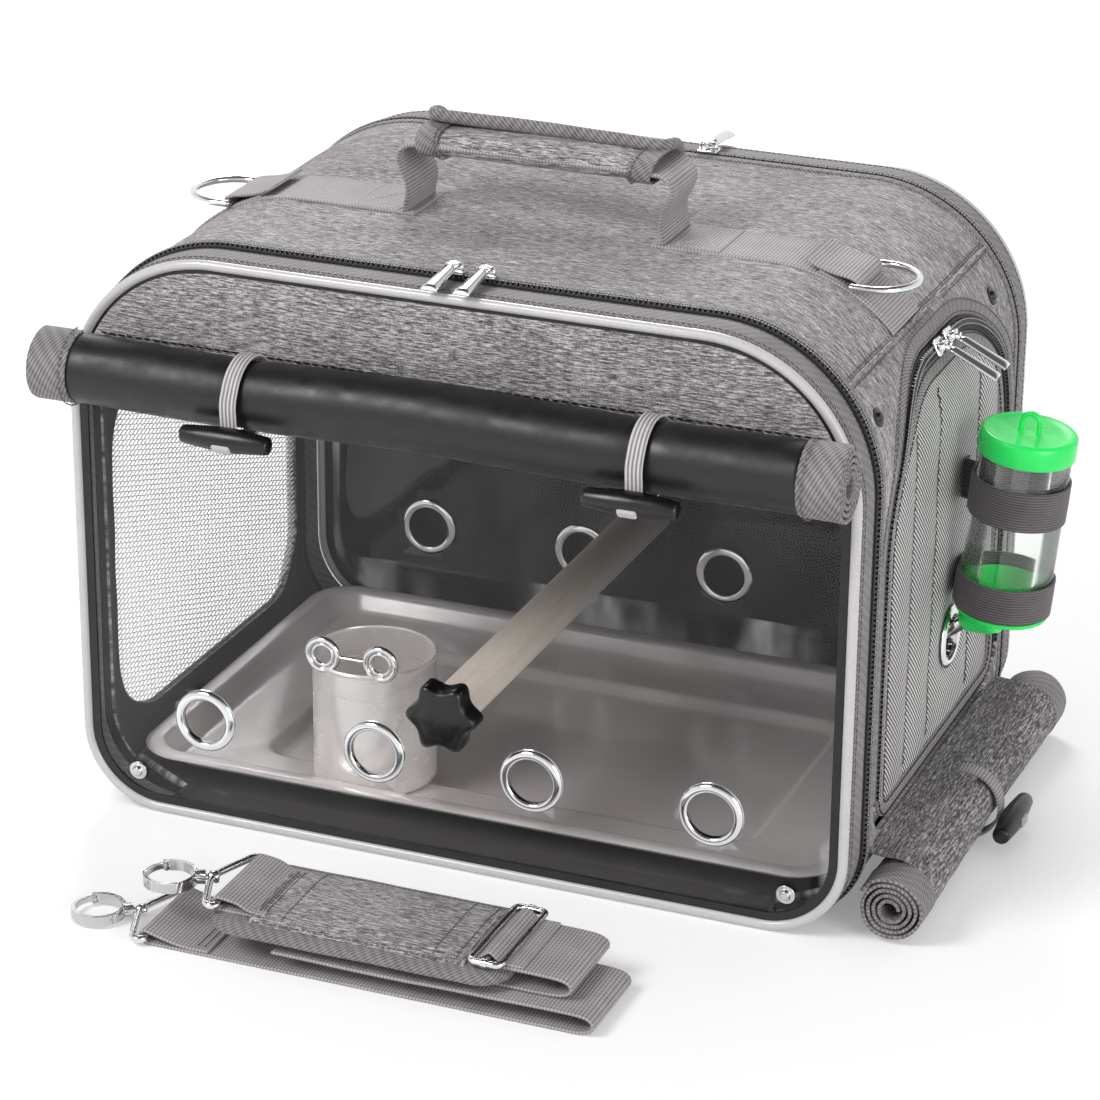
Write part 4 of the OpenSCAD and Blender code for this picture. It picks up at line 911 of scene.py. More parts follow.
@dataclass
class RoundedLoop:
    """A rectangle with round corners, drawn in a panel's own two directions."""

    x0: float
    x1: float
    z0: float
    z1: float
    top_r: float
    low_r: float

    def holds(self, x: float, z: float, grow: float = 0.0) -> bool:
        """Says whether a point lies inside the loop grown by a distance."""
        if not (self.x0 - grow <= x <= self.x1 + grow and self.z0 - grow <= z <= self.z1 + grow):
            return False
        for corner_x, side in ((self.x0, 1), (self.x1, -1)):
            for corner_z, up, radius in ((self.z1, -1, self.top_r), (self.z0, 1, self.low_r)):
                cx, cz = corner_x + side * radius, corner_z + up * radius
                if (x - cx) * side < 0 and (z - cz) * up < 0:
                    return hypot(x - cx, z - cz) <= radius + grow
        return True

    def edge(self, z: float, grow: float = 0.0) -> tuple[float, float]:
        """Gives the least and greatest x of the grown loop at a height."""
        inset = 0.0
        for past, radius in ((z - self.z1 + self.top_r, self.top_r), (self.z0 + self.low_r - z, self.low_r)):
            if past > 0:
                r = radius + grow
                inset = r - sqrt(max(0.0, r * r - min(r, past) ** 2))
        return self.x0 - grow + inset, self.x1 + grow - inset

    def points(self, grow: float = 0.0, step: float = 2.0) -> list[Vector]:
        """Gives even points round the grown loop, from the middle of its bottom towards x1, as (x, 0, z)."""
        corners = [(self.x1 - self.low_r, self.z0 + self.low_r, self.low_r, -90),
                   (self.x1 - self.top_r, self.z1 - self.top_r, self.top_r, 0),
                   (self.x0 + self.top_r, self.z1 - self.top_r, self.top_r, 90),
                   (self.x0 + self.low_r, self.z0 + self.low_r, self.low_r, 180)]
        start = Vector(((self.x0 + self.x1) / 2, 0, self.z0 - grow))
        line = [start]
        for cx, cz, radius, angle in corners:
            for k in range(25):
                turn = radians(angle + 90 * k / 24)
                line.append(Vector((cx + (radius + grow) * cos(turn), 0, cz + (radius + grow) * sin(turn))))
        return even_line([*line, start.copy()], step)[:-1]

    def ray(self, x: float, z: float, turn: float) -> tuple[float, float]:
        """Gives where a ray from a point inside meets the loop."""
        return reach_of(self.holds, x, z, turn, 2 * (self.x1 - self.x0 + self.z1 - self.z0))

    def grown(self, grow: float) -> "RoundedLoop":
        """Gives the loop grown by a distance."""
        return RoundedLoop(self.x0 - grow, self.x1 + grow, self.z0 - grow, self.z1 + grow, self.top_r + grow,
                           self.low_r + grow)


@dataclass
class Bag:
    """The soft shell: top, walls, floor board, zip chains, binding and the webbing over the top."""

    bench: Bench
    line: Outline = field(default_factory=Outline)
    shell_y: float = 111.0
    webbing_y: float = -22.0
    wall: float = 3.4
    low_seam: float = 191.0
    top_seam: float = 452.4
    door: RoundedLoop = field(default_factory=lambda: RoundedLoop(-95, 99, 42, 249, 76, 16))
    net: RoundedLoop = field(default_factory=lambda: RoundedLoop(-102, 102, 26, 206, 34, 34))

    def side(self, side: Side, y: float, z: float, out: float = 0.0) -> Vector:
        """Gives a point on a side wall at a depth and a height."""
        point = self.line.place(self.line.length_at(z), y, out)
        point.x *= side.value
        return point

    def side_way(self, side: Side, z: float) -> Vector:
        """Gives the way out of a side wall at a height."""
        away = self.line.at(self.line.length_at(z))[1]
        return Vector((away.x * side.value, 0, away.z))

    def side_route(self, side: Side, loop: RoundedLoop, grow: float, out: float, step: float = 2.0,
                   keep: Callable[[Vector], bool] | None = None) -> Route:
        """Gives a route on a side wall round a loop, or along the part of it that is kept."""
        flat = loop.points(grow, step)
        if keep:
            start = next(i for i, p in enumerate(flat) if keep(p) and not keep(flat[i - 1]))
            flat = [p for p in flat[start:] + flat[:start] if keep(p)]
        return Route([self.side(side, p.x, p.z, out) for p in flat], lambda i: self.side_way(side, flat[i].z),
                     keep is None)

    def loop_length(self, loop: RoundedLoop) -> RoundedLoop:
        """Gives a side wall's loop with its heights as lengths on the cloth."""
        return RoundedLoop(loop.x0, loop.x1, self.line.length_at(loop.z0), self.line.length_at(loop.z1), loop.top_r,
                           loop.low_r)

    def make_top(self) -> None:
        """Makes the padded top panel, slightly crowned between the seams."""
        s0, s1 = self.top_seam, self.line.length - self.top_seam
        y0, y1 = self.shell_y, -self.shell_y

        def place(u: float, v: float) -> Vector:
            s, y = s0 + (s1 - s0) * u, y0 + (y1 - y0) * v
            crown = 1.6 * (1 - (2 * v - 1) ** 4) * min(1.0, 8 * u, 8 * (1 - u))
            crease = 0.9 * wander((s, y, 0), 46, 1) + 0.35 * wander((s, y * 1.4, 0), 15, 2)
            return self.line.place(s, y, crown + crease * min(1.0, 14 * v, 14 * (1 - v)))

        top = face_from(mapped(170, 70, place, lambda u, v: ((s1 - s0) * u, (y1 - y0) * v)), (0, 0, 100))
        piece = self.bench.store(top, "top_cloth", "bag", "heather_cloth", "heather lining", "top_panel")
        self.bench.walled(piece, self.wall, 1)
        for s, name in ((s0, "right"), (s1, "left")):
            seam = straight(self.line.place(s, y1, 0.5), self.line.place(s, y0, 0.5), 90, self.line.at(s)[1])
            self.bench.store(seam.tube(1.1, 8), f"top_seam_{name}", "bag", "heather_cloth", "heather")
            self.bench.store(twin_rows(seam, -0.1, 2.6, 3.4), f"top_seam_stitches_{name}", "bag", "heather_cloth",
                             "seam_thread")

    def ring_panel(self, side: Side, loop: RoundedLoop, rings: int) -> Shape:
        """Makes a side wall with an opening, from the loop out to the wall's edges."""
        hole = self.loop_length(loop)
        rim = RoundedLoop(-self.shell_y, self.shell_y, self.low_seam, self.top_seam, 0.01, 0.01)
        cx, cs = (hole.x0 + hole.x1) / 2, (hole.z0 + hole.z1) / 2
        corners = [atan2(z - cs, x - cx) % (2 * pi) for x in (rim.x0, rim.x1) for z in (rim.z0, rim.z1)]
        turns = sorted([*angles(220), *corners])
        turns.append(turns[0] + 2 * pi)
        inner = [self.hole_ray(loop, cx, cs, t) for t in turns]
        outer = [rim.ray(cx, cs, t) for t in turns]
        n = len(turns) - 1

        def flat(u: float, v: float) -> tuple[float, float]:
            (a, b), (c, d) = inner[round(u * n)], outer[round(u * n)]
            return a + (c - a) * v, b + (d - b) * v

        def place(u: float, v: float) -> Vector:
            y, s = flat(u, v)
            crease = 0.7 * wander((y, s, 3 * side.value), 34, 3) * min(1.0, 6 * v, 6 * (1 - v))
            puff = 0.9 * sin(pi * v) + crease
            point = self.line.place(s, y, puff)
            point.x *= side.value
            return point

        return face_from(mapped(n, rings, place, flat, merge=True), (0, 0, 140))

    def hole_ray(self, loop: RoundedLoop, x: float, s: float, turn: float) -> tuple[float, float]:
        """Gives where a ray on the cloth meets a loop that is drawn by height."""
        def inside(y: float, length: float) -> bool:
            return self.line.flat_end < length < self.line.top_end and loop.holds(y, self.line.at(length)[0].z)

        return reach_of(inside, x, s, turn, 500.0)

    def make_wall(self, side: Side, loop: RoundedLoop, rings: int) -> None:
        """Makes a side wall in its lining, with the cloth's threads running upwards."""
        name = side.name.lower()
        wall = self.bench.store(self.ring_panel(side, loop, rings), f"{name}_wall_cloth", "bag", "heather_cloth",
                                "heather_side lining", f"{name}_wall")
        self.bench.walled(wall, self.wall, 1)

    def make_left(self) -> None:
        """Makes the left wall, the binding round its window, and the net."""
        self.make_wall(Side.LEFT, self.net, 14)
        rim = self.side_route(Side.LEFT, self.net, 3.5, 0.7)
        binding = rim.sweep([(-0.7, -5), (0.4, -4.6), (0.9, 0), (0.4, 4.6), (-0.7, 5), (-2.0, 4.2), (-2.0, -4.2)])
        self.bench.store(binding, "net_binding", "bag", "tape", "twill")
        self.bench.store(twin_rows(rim, 0.75, 3.4), "net_binding_stitches", "bag", "tape", "seam_thread")
        self.make_net()

    def make_net(self) -> None:
        """Knots the net's strands and clips them to the window."""
        shape, middle = bmesh.new(), (self.net.z0 + self.net.z1) / 2
        for slope in (-0.33, 0.33):
            x = 1.8 - self.line.half + slope * 0.7
            for k in range(-52, 53):
                line = [(y, middle + slope * y + 2.75 * k) for y in range(-106, 107, 2)]
                stretch = [(y, z) for y, z in line if self.net.holds(y, z, 2.0)]
                if len(stretch) > 2:
                    strand = straight((x, *stretch[0]), (x, *stretch[-1]), 3, X)
                    shape = gather(shape, strand.sweep([(-0.25, -0.27), (0.25, -0.27), (0.25, 0.27), (-0.25, 0.27)]))
        for vert in shape.verts:
            y, z = vert.co.y / self.net.x1, (vert.co.z - middle) / 90
            slack = 1.6 * max(0.0, 1 - y * y) * max(0.0, 1 - z * z)
            vert.co.x -= slack - 0.4 * wander((vert.co.y, vert.co.z, 0), 40, 5)
        self.bench.store(shape, "net_strands", "bag", "net", "net", "left_mesh")

    def make_right(self) -> None:
        """Makes the right wall round the side door, and the binding that frames the door."""
        self.make_wall(Side.RIGHT, self.door.grown(6.5), 10)
        low = self.door.z0 + 16
        frame_line = self.side_route(Side.RIGHT, self.door, 10.5, 0.5, keep=lambda p: p.z > low)
        tape = frame_line.sweep([(-0.6, -4.6), (0.5, -4.2), (1.0, 0), (0.5, 4.2), (-0.6, 4.6), (-1.6, 3), (-1.6, -3)])
        self.bench.store(tape, "side_door_binding", "bag", "tape", "twill")
        self.bench.store(twin_rows(frame_line, 0.8, 3.1), "side_door_binding_stitches", "bag", "tape", "seam_thread")
        chain = self.side_route(Side.RIGHT, self.door, 3.0, 0.4, 1.5, keep=lambda p: p.z > low)
        self.make_chain(chain, "side", "side_zip")

    def make_chain(self, route: Route, name: str, node: str) -> None:
        """Makes a coil zip chain with its tape and stitch lines along a route whose first axis points out."""
        tape = route.sweep([(-2.2, -3.3), (0.2, -3.3), (0.3, -1.6), (0.3, 1.6), (0.2, 3.3), (-2.2, 3.3)])
        self.bench.store(tape, f"{name}_chain_tape", "bag", "zip_chain", "chain_tape", node)
        teeth, turn_size, lean = bmesh.new(), Matrix.Diagonal((0.8, 1.5, 4.3, 1)), 9
        for i, matrix in enumerate(route.every(1.3)):
            place = matrix @ Matrix.Translation(Y) @ spin(lean if i % 2 else -lean, "Y") @ turn_size
            out = matrix.col[1].to_3d()
            for vert in bmesh.ops.create_cube(teeth, size=1.0, matrix=place)["verts"]:
                if (vert.co - matrix.translation).dot(out) > 1.2:
                    vert.co = vert.co.lerp(matrix.translation + out * 1.75, 0.28)
        self.bench.store(teeth, f"{name}_chain_teeth", "bag", "zip_chain", "chain")
        self.bench.store(twin_rows(route, 1.8, 1.2, 1.7, 0.5, 0.4), f"{name}_chain_stitches", "bag", "zip_chain",
                         "thread")

    def make_ends(self) -> None:
        """Makes the front and back chains and the cloth fold beside each."""
        start, end = self.low_seam - 33, self.line.length - self.low_seam + 33
        for sign, name in ((-1, "front"), (1, "back")):
            self.make_chain(self.line.route(start, end, sign * 114.0, 0.2, 1.6), name, f"{name}_zip")
            fold = self.line.route(start, end, sign * 109.6, 0.9)
            self.bench.store(fold.sweep([(-1.2, -2.4), (0.3, -2.2), (0.8, 0), (0.3, 2.2), (-1.2, 2.4)]),
                             f"{name}_shell_fold", "bag", "tape", "twill")

    def make_base(self) -> None:
        """Makes the floor board in its cloth, with the sills under the clear doors."""
        s0, depth = self.low_seam, 132.0

        def place(u: float, v: float) -> Vector:
            s, y = -s0 + 2 * s0 * u, -depth + 2 * depth * v
            if abs(y) > self.shell_y:
                s *= (self.line.flat_end - 0.5) / s0
            return self.line.place(s, y, 0.0 if abs(s) < self.line.flat_end else 0.4 * wander((s, y, 0), 40, 8) + 0.2)

        base = face_from(mapped(96, 66, place, lambda u, v: (2 * s0 * u, 2 * depth * v)), (0, 0, 100))
        piece = self.bench.store(base, "base_cloth", "bag", "heather_cloth", "heather lining", "base_panel")
        self.bench.walled(piece, 4.0, 1)

    def make_webbing(self) -> None:
        """Makes the flat webbing over the top with its sewn ends and the keeper loops of the carrying rings."""
        y, arc = self.webbing_y, self.top_seam + 2
        for sign, name in ((1, "right"), (-1, "left")):
            stops = [arc + (self.line.length / 2 - 61 - arc) * k / 60 for k in range(61)]
            points = [self.line.place(s, y, 1.9) for s in stops]
            aways = [self.line.at(s)[1] for s in stops]
            for vector in (*points, *aways):
                vector.x *= sign
            strap = Route(points, Y)
            self.bench.store(strap.band(39, 1.5), f"top_webbing_{name}", "bag", "webbing", "webbing",
                             "top_webbing" if sign > 0 else "")
            over = 0.75 if strap.frame(0)[2].dot(aways[0]) > 0 else -0.75
            sewn = gather(*[stitches(strap.shifted(side, over), 3.1) for side in (-17.2, 17.2)])
            self.bench.store(sewn, f"top_webbing_stitches_{name}", "bag", "webbing", "thread")
            self.make_keeper(sign, name)

    def make_keeper(self, sign: int, name: str) -> None:
        """Makes the webbing loop that holds a carrying ring on a shoulder of the bag."""
        bar, r = Vector((sign * 160.9, self.webbing_y, 289.15)), 2.6
        sine, cosine = sin(radians(28)), cos(radians(28))
        away, along = Vector((sign * sine, 0, cosine)), Vector((sign * cosine, 0, -sine))
        loop = [bar - away * (r + 0.9) - along * 17, bar - away * (r + 0.2) - along * 6]
        loop += [bar - away * r * cos(t) + along * r * sin(t) for t in angles(10, pi, True)]
        loop += [bar + away * 1.9 - along * 4, bar - away * 0.4 - along * 11, bar - away * 1.9 - along * 18,
                 bar - away * 2.2 - along * 25]
        self.bench.store(Route(smooth_line(loop, 1.0), Y).band(35, 1.4), f"ring_keeper_{name}", "bag", "webbing",
                         "webbing")

    def make_fittings(self) -> None:
        """Makes the two snap studs over the side door and the wooden perch."""
        self.bench.hardware("side_studs", "side_snap_studs", "bag", "black_plastic", "black", 0.3)
        self.bench.hardware("perch", "perch_rod", "bag", "perch_wood", "timber", 1.2)

    def build(self) -> None:
        """Makes the whole shell."""
        for step in (self.make_top, self.make_left, self.make_right, self.make_ends, self.make_base,
                     self.make_webbing, self.make_fittings):
            step()
# ---- Rolled shades ----


@dataclass
class Winding:
    """A sheet wound into a roll, with a bound strip at each end that stands a little proud."""

    turns: float
    inner: float
    outer: float
    half: float
    start: float
    edge: float = 20.0

    @property
    def length(self) -> float:
        """The length of cloth that the roll takes."""
        return 2 * pi * self.turns * (self.inner + self.outer) / 2

    def spiral(self, share: float) -> tuple[float, float]:
        """Gives the angle and the radius at a share of the cloth's length."""
        angle = radians(self.start) - 2 * pi * self.turns * (1 - share)
        return angle, self.inner + (self.outer - self.inner) * share

    def stretches(self, cells: int, proud: float, gap: float, lap: float, ends: tuple[str, str]) -> list[tuple]:
        """Gives the cloth and its two bound ends: start, end, cells, how far it stands proud, and name."""
        half, edge = self.half, self.edge
        return [(-half + edge, half - edge, cells, 0.0, "roll_cloth"),
                (-half + gap, -half + edge + lap, 12, proud, f"binding_{ends[0]}"),
                (half - edge - lap, half - gap, 12, proud, f"binding_{ends[1]}")]


def toggle_shape() -> Shape:
    """Makes a toggle along Z, 45 mm long: a plain rounded bar, fullest in its middle."""
    return turned([(0, -22.4), (3.3, -22.4), (4.0, -22.0), (4.4, -20.8), (5.3, -11), (5.85, -4), (5.85, 4), (5.3, 11),
                   (4.4, 20.8), (4.0, 22.0), (3.3, 22.4), (0, 22.4)], 32)


def strap_edge(width: float, thick: float, crown: float = 0.05) -> list[tuple[float, float]]:
    """Gives the outline of an elastic strap that is a little thicker in its middle."""
    w, t = width / 2, thick / 2
    return [(-w, -t), (0, -t - crown), (w, -t), (w, t), (0, t + crown), (-w, t)]


# ---- Clear doors ----


@dataclass
class ClearDoor:
    """A clear door on the front or the back: piped hoop, tape, film and vent eyelets."""

    bench: Bench
    line: Outline
    name: str
    sign: int
    body: str
    hoop_y: float = 136.0
    hoop_r: float = 3.0
    vents: Sequence[float] = (-132, -41, 41, 132)
    vent_z: float = 55.0
    knob_z: float = 86.0
    inset: float = 6.8

    @property
    def cloth_edge(self) -> RoundedLoop:
        """The edge of the cloth inside the hoop."""
        line, gap = self.line, self.inset
        return RoundedLoop(gap - line.half, line.half - gap, gap, line.height - gap, line.top_r - gap,
                           line.low_r - gap)

    def cloth_at(self, low: float, u: float, v: float) -> tuple[float, float]:
        """Gives the place on the cloth from a height up to the hoop."""
        loop = self.cloth_edge
        z = low + (loop.z1 - low) * v
        x0, x1 = loop.edge(min(z, loop.z1 - 0.02))
        return x0 + (x1 - x0) * u, z

    @property
    def outward(self) -> Matrix:
        """The turn that brings Z to the door's outer side."""
        return spin(-90 * self.sign, "X")

    def make_hoop(self, nodes: str, tape_nodes: str = "") -> None:
        """Makes the silver piping, the dark edge inside it and the twill tape behind it."""
        y, total = self.sign * self.hoop_y, self.line.length
        hoop = self.line.route(0, total, y, -self.hoop_r, 1.8)
        self.bench.store(hoop.tube(self.hoop_r - 0.5, 14), f"{self.name}_piping", self.body, "piping", "piping",
                         nodes)
        edge = self.line.route(0, total, y, -self.hoop_r - 4.2)
        self.bench.store(edge.sweep([(-2.4, -0.75), (1.6, -0.9), (1.6, 0.9), (-2.4, 0.75)]), f"{self.name}_dark_edge",
                         self.body, "zip_chain", "edge_tape")
        start = self.line.flat_end + 2
        tape = self.line.route(start, total - start, y - self.sign * 10.6, -0.6)
        skin = tape.sweep([(-1.0, -8.0), (0.0, -7.8), (0.5, -4), (0.55, 0), (0.5, 4), (0.0, 7.8), (-1.0, 8.0),
                           (-1.2, 0)])
        self.bench.store(skin, f"{self.name}_twill_tape", self.body, "tape", "twill", tape_nodes)
        self.bench.store(twin_rows(tape, 0.35, 6.4), f"{self.name}_tape_stitches", self.body, "tape", "seam_thread")

    def make_film(self, node: str, finish: str) -> None:
        """Makes the clear sheet with a slight wave in it."""
        def move(p: Vector) -> Vector:
            rim = min(1.0, max(0.0, (193 - abs(p.x)) / 40), max(0.0, (p.z - 8) / 40), max(0.0, (286 - p.z) / 40))
            rim *= min(1.0, *(max(0.0, hypot(p.x - x, p.z - self.vent_z) - 20) / 20 for x in self.vents))
            return Vector((0, 0.9 * rim * wander((p.x, 0, p.z), 75, 4 + self.sign), 0))

        sheet = soften_copy(node, 0.0, (14, 0, 14), move)
        self.bench.store(sheet, f"{self.name}_film", self.body, "clear_film", finish, node, sharp=60)

    def make_eyelets(self, node: str) -> None:
        """Makes the rolled metal eyelets, each with its washer behind the film."""
        profile = [(11.5, 0.3), (11.7, 1.5), (12.5, 2.1), (13.6, 2.2), (14.9, 1.8), (15.8, 1.0), (16.1, 0.35),
                   (15.6, 0.3), (15.4, 0.0), (12.6, 0.0), (12.6, -0.8), (15.6, -0.85), (16.0, -1.2), (15.4, -1.9),
                   (13.8, -2.2), (12.2, -2.1), (11.5, -1.4), (11.5, 0.3)]
        places = [Matrix.Translation((x, self.sign * (self.hoop_y + 0.4), self.vent_z)) for x in self.vents]
        rings = [moved(turned(profile, 56), place @ self.outward @ Matrix.Scale(0.93, 4, Z)) for place in places]
        self.bench.store(gather(*rings), f"{self.name}_eyelets", self.body, "chrome", "chrome", node, sharp=50)

    def make_knob(self, node: str, body: str) -> None:
        """Makes the lobed perch knob with its boss and fixing stud."""
        shape = bmesh.new()
        bmesh.ops.create_circle(shape, cap_ends=True, radius=1.0, segments=96)
        face = shape.faces[:]
        for share, z in ((0.95, 3.2), (1.0, 4.3), (1.0, 13.0), (0.975, 14.4), (0.92, 15.3), (0.82, 15.7), (0.7, 15.6),
                         (0.64, 15.9), (0.45, 16.5), (0.2, 16.8), (0.04, 16.85)):
            made = bmesh.ops.extrude_face_region(shape, geom=face)["geom"]
            bmesh.ops.delete(shape, geom=face, context="FACES_ONLY")
            face = [g for g in made if isinstance(g, bmesh.types.BMFace)]
            for vert in {v for f in face for v in f.verts}:
                turn = atan2(vert.co.y, vert.co.x)
                radius = share * (15.9 + share * share * (2.1 * cos(6 * turn) + 0.25 * cos(12 * turn)))
                vert.co = Vector((radius * cos(turn), radius * sin(turn), z))
        bmesh.ops.delete(shape, geom=[v for v in shape.verts if v.co.z < 1], context="VERTS")
        closed(shape)
        boss = turned([(0, 0.2), (7.4, 0.2), (8.1, 0.9), (8.1, 3.6), (0, 3.6)], 32)
        stud = turned([(0, -6.2), (2.6, -6.2), (2.9, -5.8), (2.9, 0.4), (0, 0.4)], 24)
        place = Matrix.Translation((0, self.sign * (self.hoop_y + 0.6), self.knob_z)) @ self.outward
        self.bench.store(moved(gather(shape, boss, stud), place), f"{self.name}_perch_knob", body, "black_plastic",
                         "black", node, sharp=50)


@dataclass
class FrontDoor(ClearDoor):
    """The front door with its header, rolled shade, ties, toggles and studs."""

    header_z: float = 250.0
    roll_z: float = 240.0
    roll_y: float = -158.6
    roll_r: float = 18.5
    roll_half: float = 200.8
    lean: float = 58.0
    ties: Sequence[float] = (-94, 106)

    def make_header(self) -> None:
        """Makes the cloth header between the hoop and the roll, with its stitched lower hem."""
        def flat(u: float, v: float) -> tuple[float, float]:
            return self.cloth_at(self.header_z - 3, u, v)

        def place(u: float, v: float) -> Vector:
            x, z = flat(u, v)
            rim = min(1.0, 6 * (1 - v), 20 * u, 20 * (1 - u))
            slack = 1.5 * (1 - v) ** 1.5 * sin(pi * u) ** 0.5 if 0 < u < 1 else 0.0
            crease = 0.9 * wander((x, z, 0), 38, 6) + 0.4 * wander((x, 2 * z, 0), 14, 7)
            return Vector((x, -self.hoop_y - 1.3 - rim * (0.9 + slack + crease), z))

        header = face_from(mapped(130, 22, place, flat), (0, 0, 200))
        piece = self.bench.store(header, "front_header_cloth", self.body, "heather_cloth", "heather lining",
                                 "front_header")
        self.bench.walled(piece, 1.0, 1)
        z = self.header_z + 1.2
        x0, x1 = self.cloth_edge.edge(self.header_z + 1.5)
        points = [Vector((x0 + 3 + (x1 - x0 - 6) * k / 160, -139.0 - 1.3 * sin(pi * k / 160) ** 0.5, z))
                  for k in range(161)]
        hem = Route(points, -Y)
        self.bench.store(gather(stitches(hem, 4.6, 0.9, 0.7), stitches(hem.shifted(-0.2, 3.4), 3.2)),
                         "front_header_stitches", self.body, "heather_cloth", "edge_tape")

    def roll_centre(self, x: float) -> Vector:
        """Gives the roll's middle at a place along it: it sags between and outside its ties."""
        sag = 0.9 * cos(pi * x / 102) - 1.2 * (x / self.roll_half) ** 2
        return Vector((x, self.roll_y - 0.3 * wander((x, 0, 0), 90, 2), self.roll_z + sag - 0.4))

    def make_roll(self) -> None:
        """Winds the coated shade into a roll, its twill-bound ends standing a little proud."""
        winding = Winding(4.2, 5.5, self.roll_r - 0.9, self.roll_half, 100)

        def wound(x: float, share: float, proud: float) -> Vector:
            angle, radius = winding.spiral(share)
            pinch = sum(exp(-((x - t) / 8.0) ** 2) for t in self.ties) * 0.9
            c, s = cos(angle), sin(angle)
            dent = 0.55 * wander((x / 3.2, 30 * c, 30 * s), 26, 9) + 0.12 * wander((x, 40 * c, 40 * s), 24, 3)
            radius += (proud + dent - pinch) * (0.3 + 0.7 * share)
            return self.roll_centre(x) + Vector((0, -radius * c, radius * s))

        whole = winding.length
        for x0, x1, cells, proud, end in winding.stretches(150, 0.85, 0.3, 0.4, ("left", "right")):
            sheet = mapped(cells, 150, lambda u, v: wound(x0 + (x1 - x0) * u, v, proud),
                           lambda u, v: (whole * v, x0 + (x1 - x0) * u))
            slot, finishes, thick = ("tape", "twill", 1.7) if proud else ("shade_cloth", "coated dull_black", 0.8)
            piece = self.bench.store(sheet, f"front_shade_{end}", self.body, slot, finishes,
                                     "" if proud else "front_shade_roll")
            self.bench.walled(piece, thick)
        for side, end in ((-1, "left"), (1, "right")):
            middle, points = self.roll_centre(side * (self.roll_half - winding.edge + 2.4)), []
            for k in range(110):
                angle, radius = winding.spiral(0.72 + 0.28 * k / 109)
                points.append(middle + (radius + 1.6) * Vector((0, -cos(angle), sin(angle))))
            name = f"front_shade_binding_stitches_{end}"
            self.bench.store(stitches(Route(points, X), 3.0, 0.6, 0.7), name, self.body, "tape", "seam_thread")

    def make_ties(self) -> None:
        """Loops the grey elastic ties over the roll and through their toggles."""
        down, front = self.hang
        loops, knots, r = [], [], self.roll_r + 0.5
        for x in self.ties:
            middle = self.roll_centre(x)

            def round_roll(*degrees: float) -> list[Vector]:
                return [middle + r * Vector((0, cos(radians(a)), sin(radians(a)))) for a in degrees]

            line = [Vector((x, -139.0, 243)), *round_roll(*range(23, round(225 - self.lean), 12))]
            line += [middle + front * (r * 0.62) + down * (r * 0.84), middle + down * (r + 3) + front * 1.6,
                     middle + down * (r + 8.5) + front * 0.7]
            over = Route(smooth_line(line, 1.2), X)
            loops.append(over.band(8.6, 1.5))
            back = [Vector((x, -139.2, 246)), *round_roll(-20, -60, -90, 0.4 * self.lean - 155),
                    middle + down * (r + 3) - front * 1.4, middle + down * (r + 8.5) - front * 0.7]
            loops.append(Route(smooth_line(back, 1.2), X).band(8.2, 1.4))
            knots.append(moved(block((9.4, 4.6, 2.4), soften=1.1, segments=3), self.tie_frame(x, r + 13.4)))
        self.bench.store(gather(*loops, *knots), "front_shade_ties_elastic", self.body, "webbing", "elastic",
                         "front_shade_ties")

    @property
    def hang(self) -> tuple[Vector, Vector]:
        """The way that the ties hang from the roll, and the way out in front of them."""
        turn = radians(self.lean)
        return Vector((0, -sin(turn), -cos(turn))), Vector((0, -cos(turn), sin(turn)))

    def tie_frame(self, x: float, drop: float) -> Matrix:
        """Gives a frame under the roll: X along it, Z up the tie."""
        return Matrix.Translation(self.roll_centre(x) + self.hang[0] * drop) @ spin(-self.lean, "X")

    def make_toggles(self) -> None:
        """Makes the waisted toggles with their slots."""
        shapes = [moved(toggle_shape(), self.tie_frame(x, self.roll_r + 8.2) @ spin(90, "Y")) for x in self.ties]
        self.bench.store(gather(*shapes), "front_shade_toggles", self.body, "black_plastic", "black", "front_toggles",
                         sharp=50)

    def build(self) -> None:
        """Makes the whole door."""
        self.make_hoop("front_hoop", "front_binding")
        self.make_film("front_window", "film")
        self.make_eyelets("front_eyelets")
        self.make_header()
        self.make_roll()
        self.make_ties()
        self.make_toggles()
        self.make_knob("perch_knob_front", "knob_front")
        self.bench.hardware("front_studs", "front_snap_studs", self.body, "satin_metal", "dull_metal", 0.3)


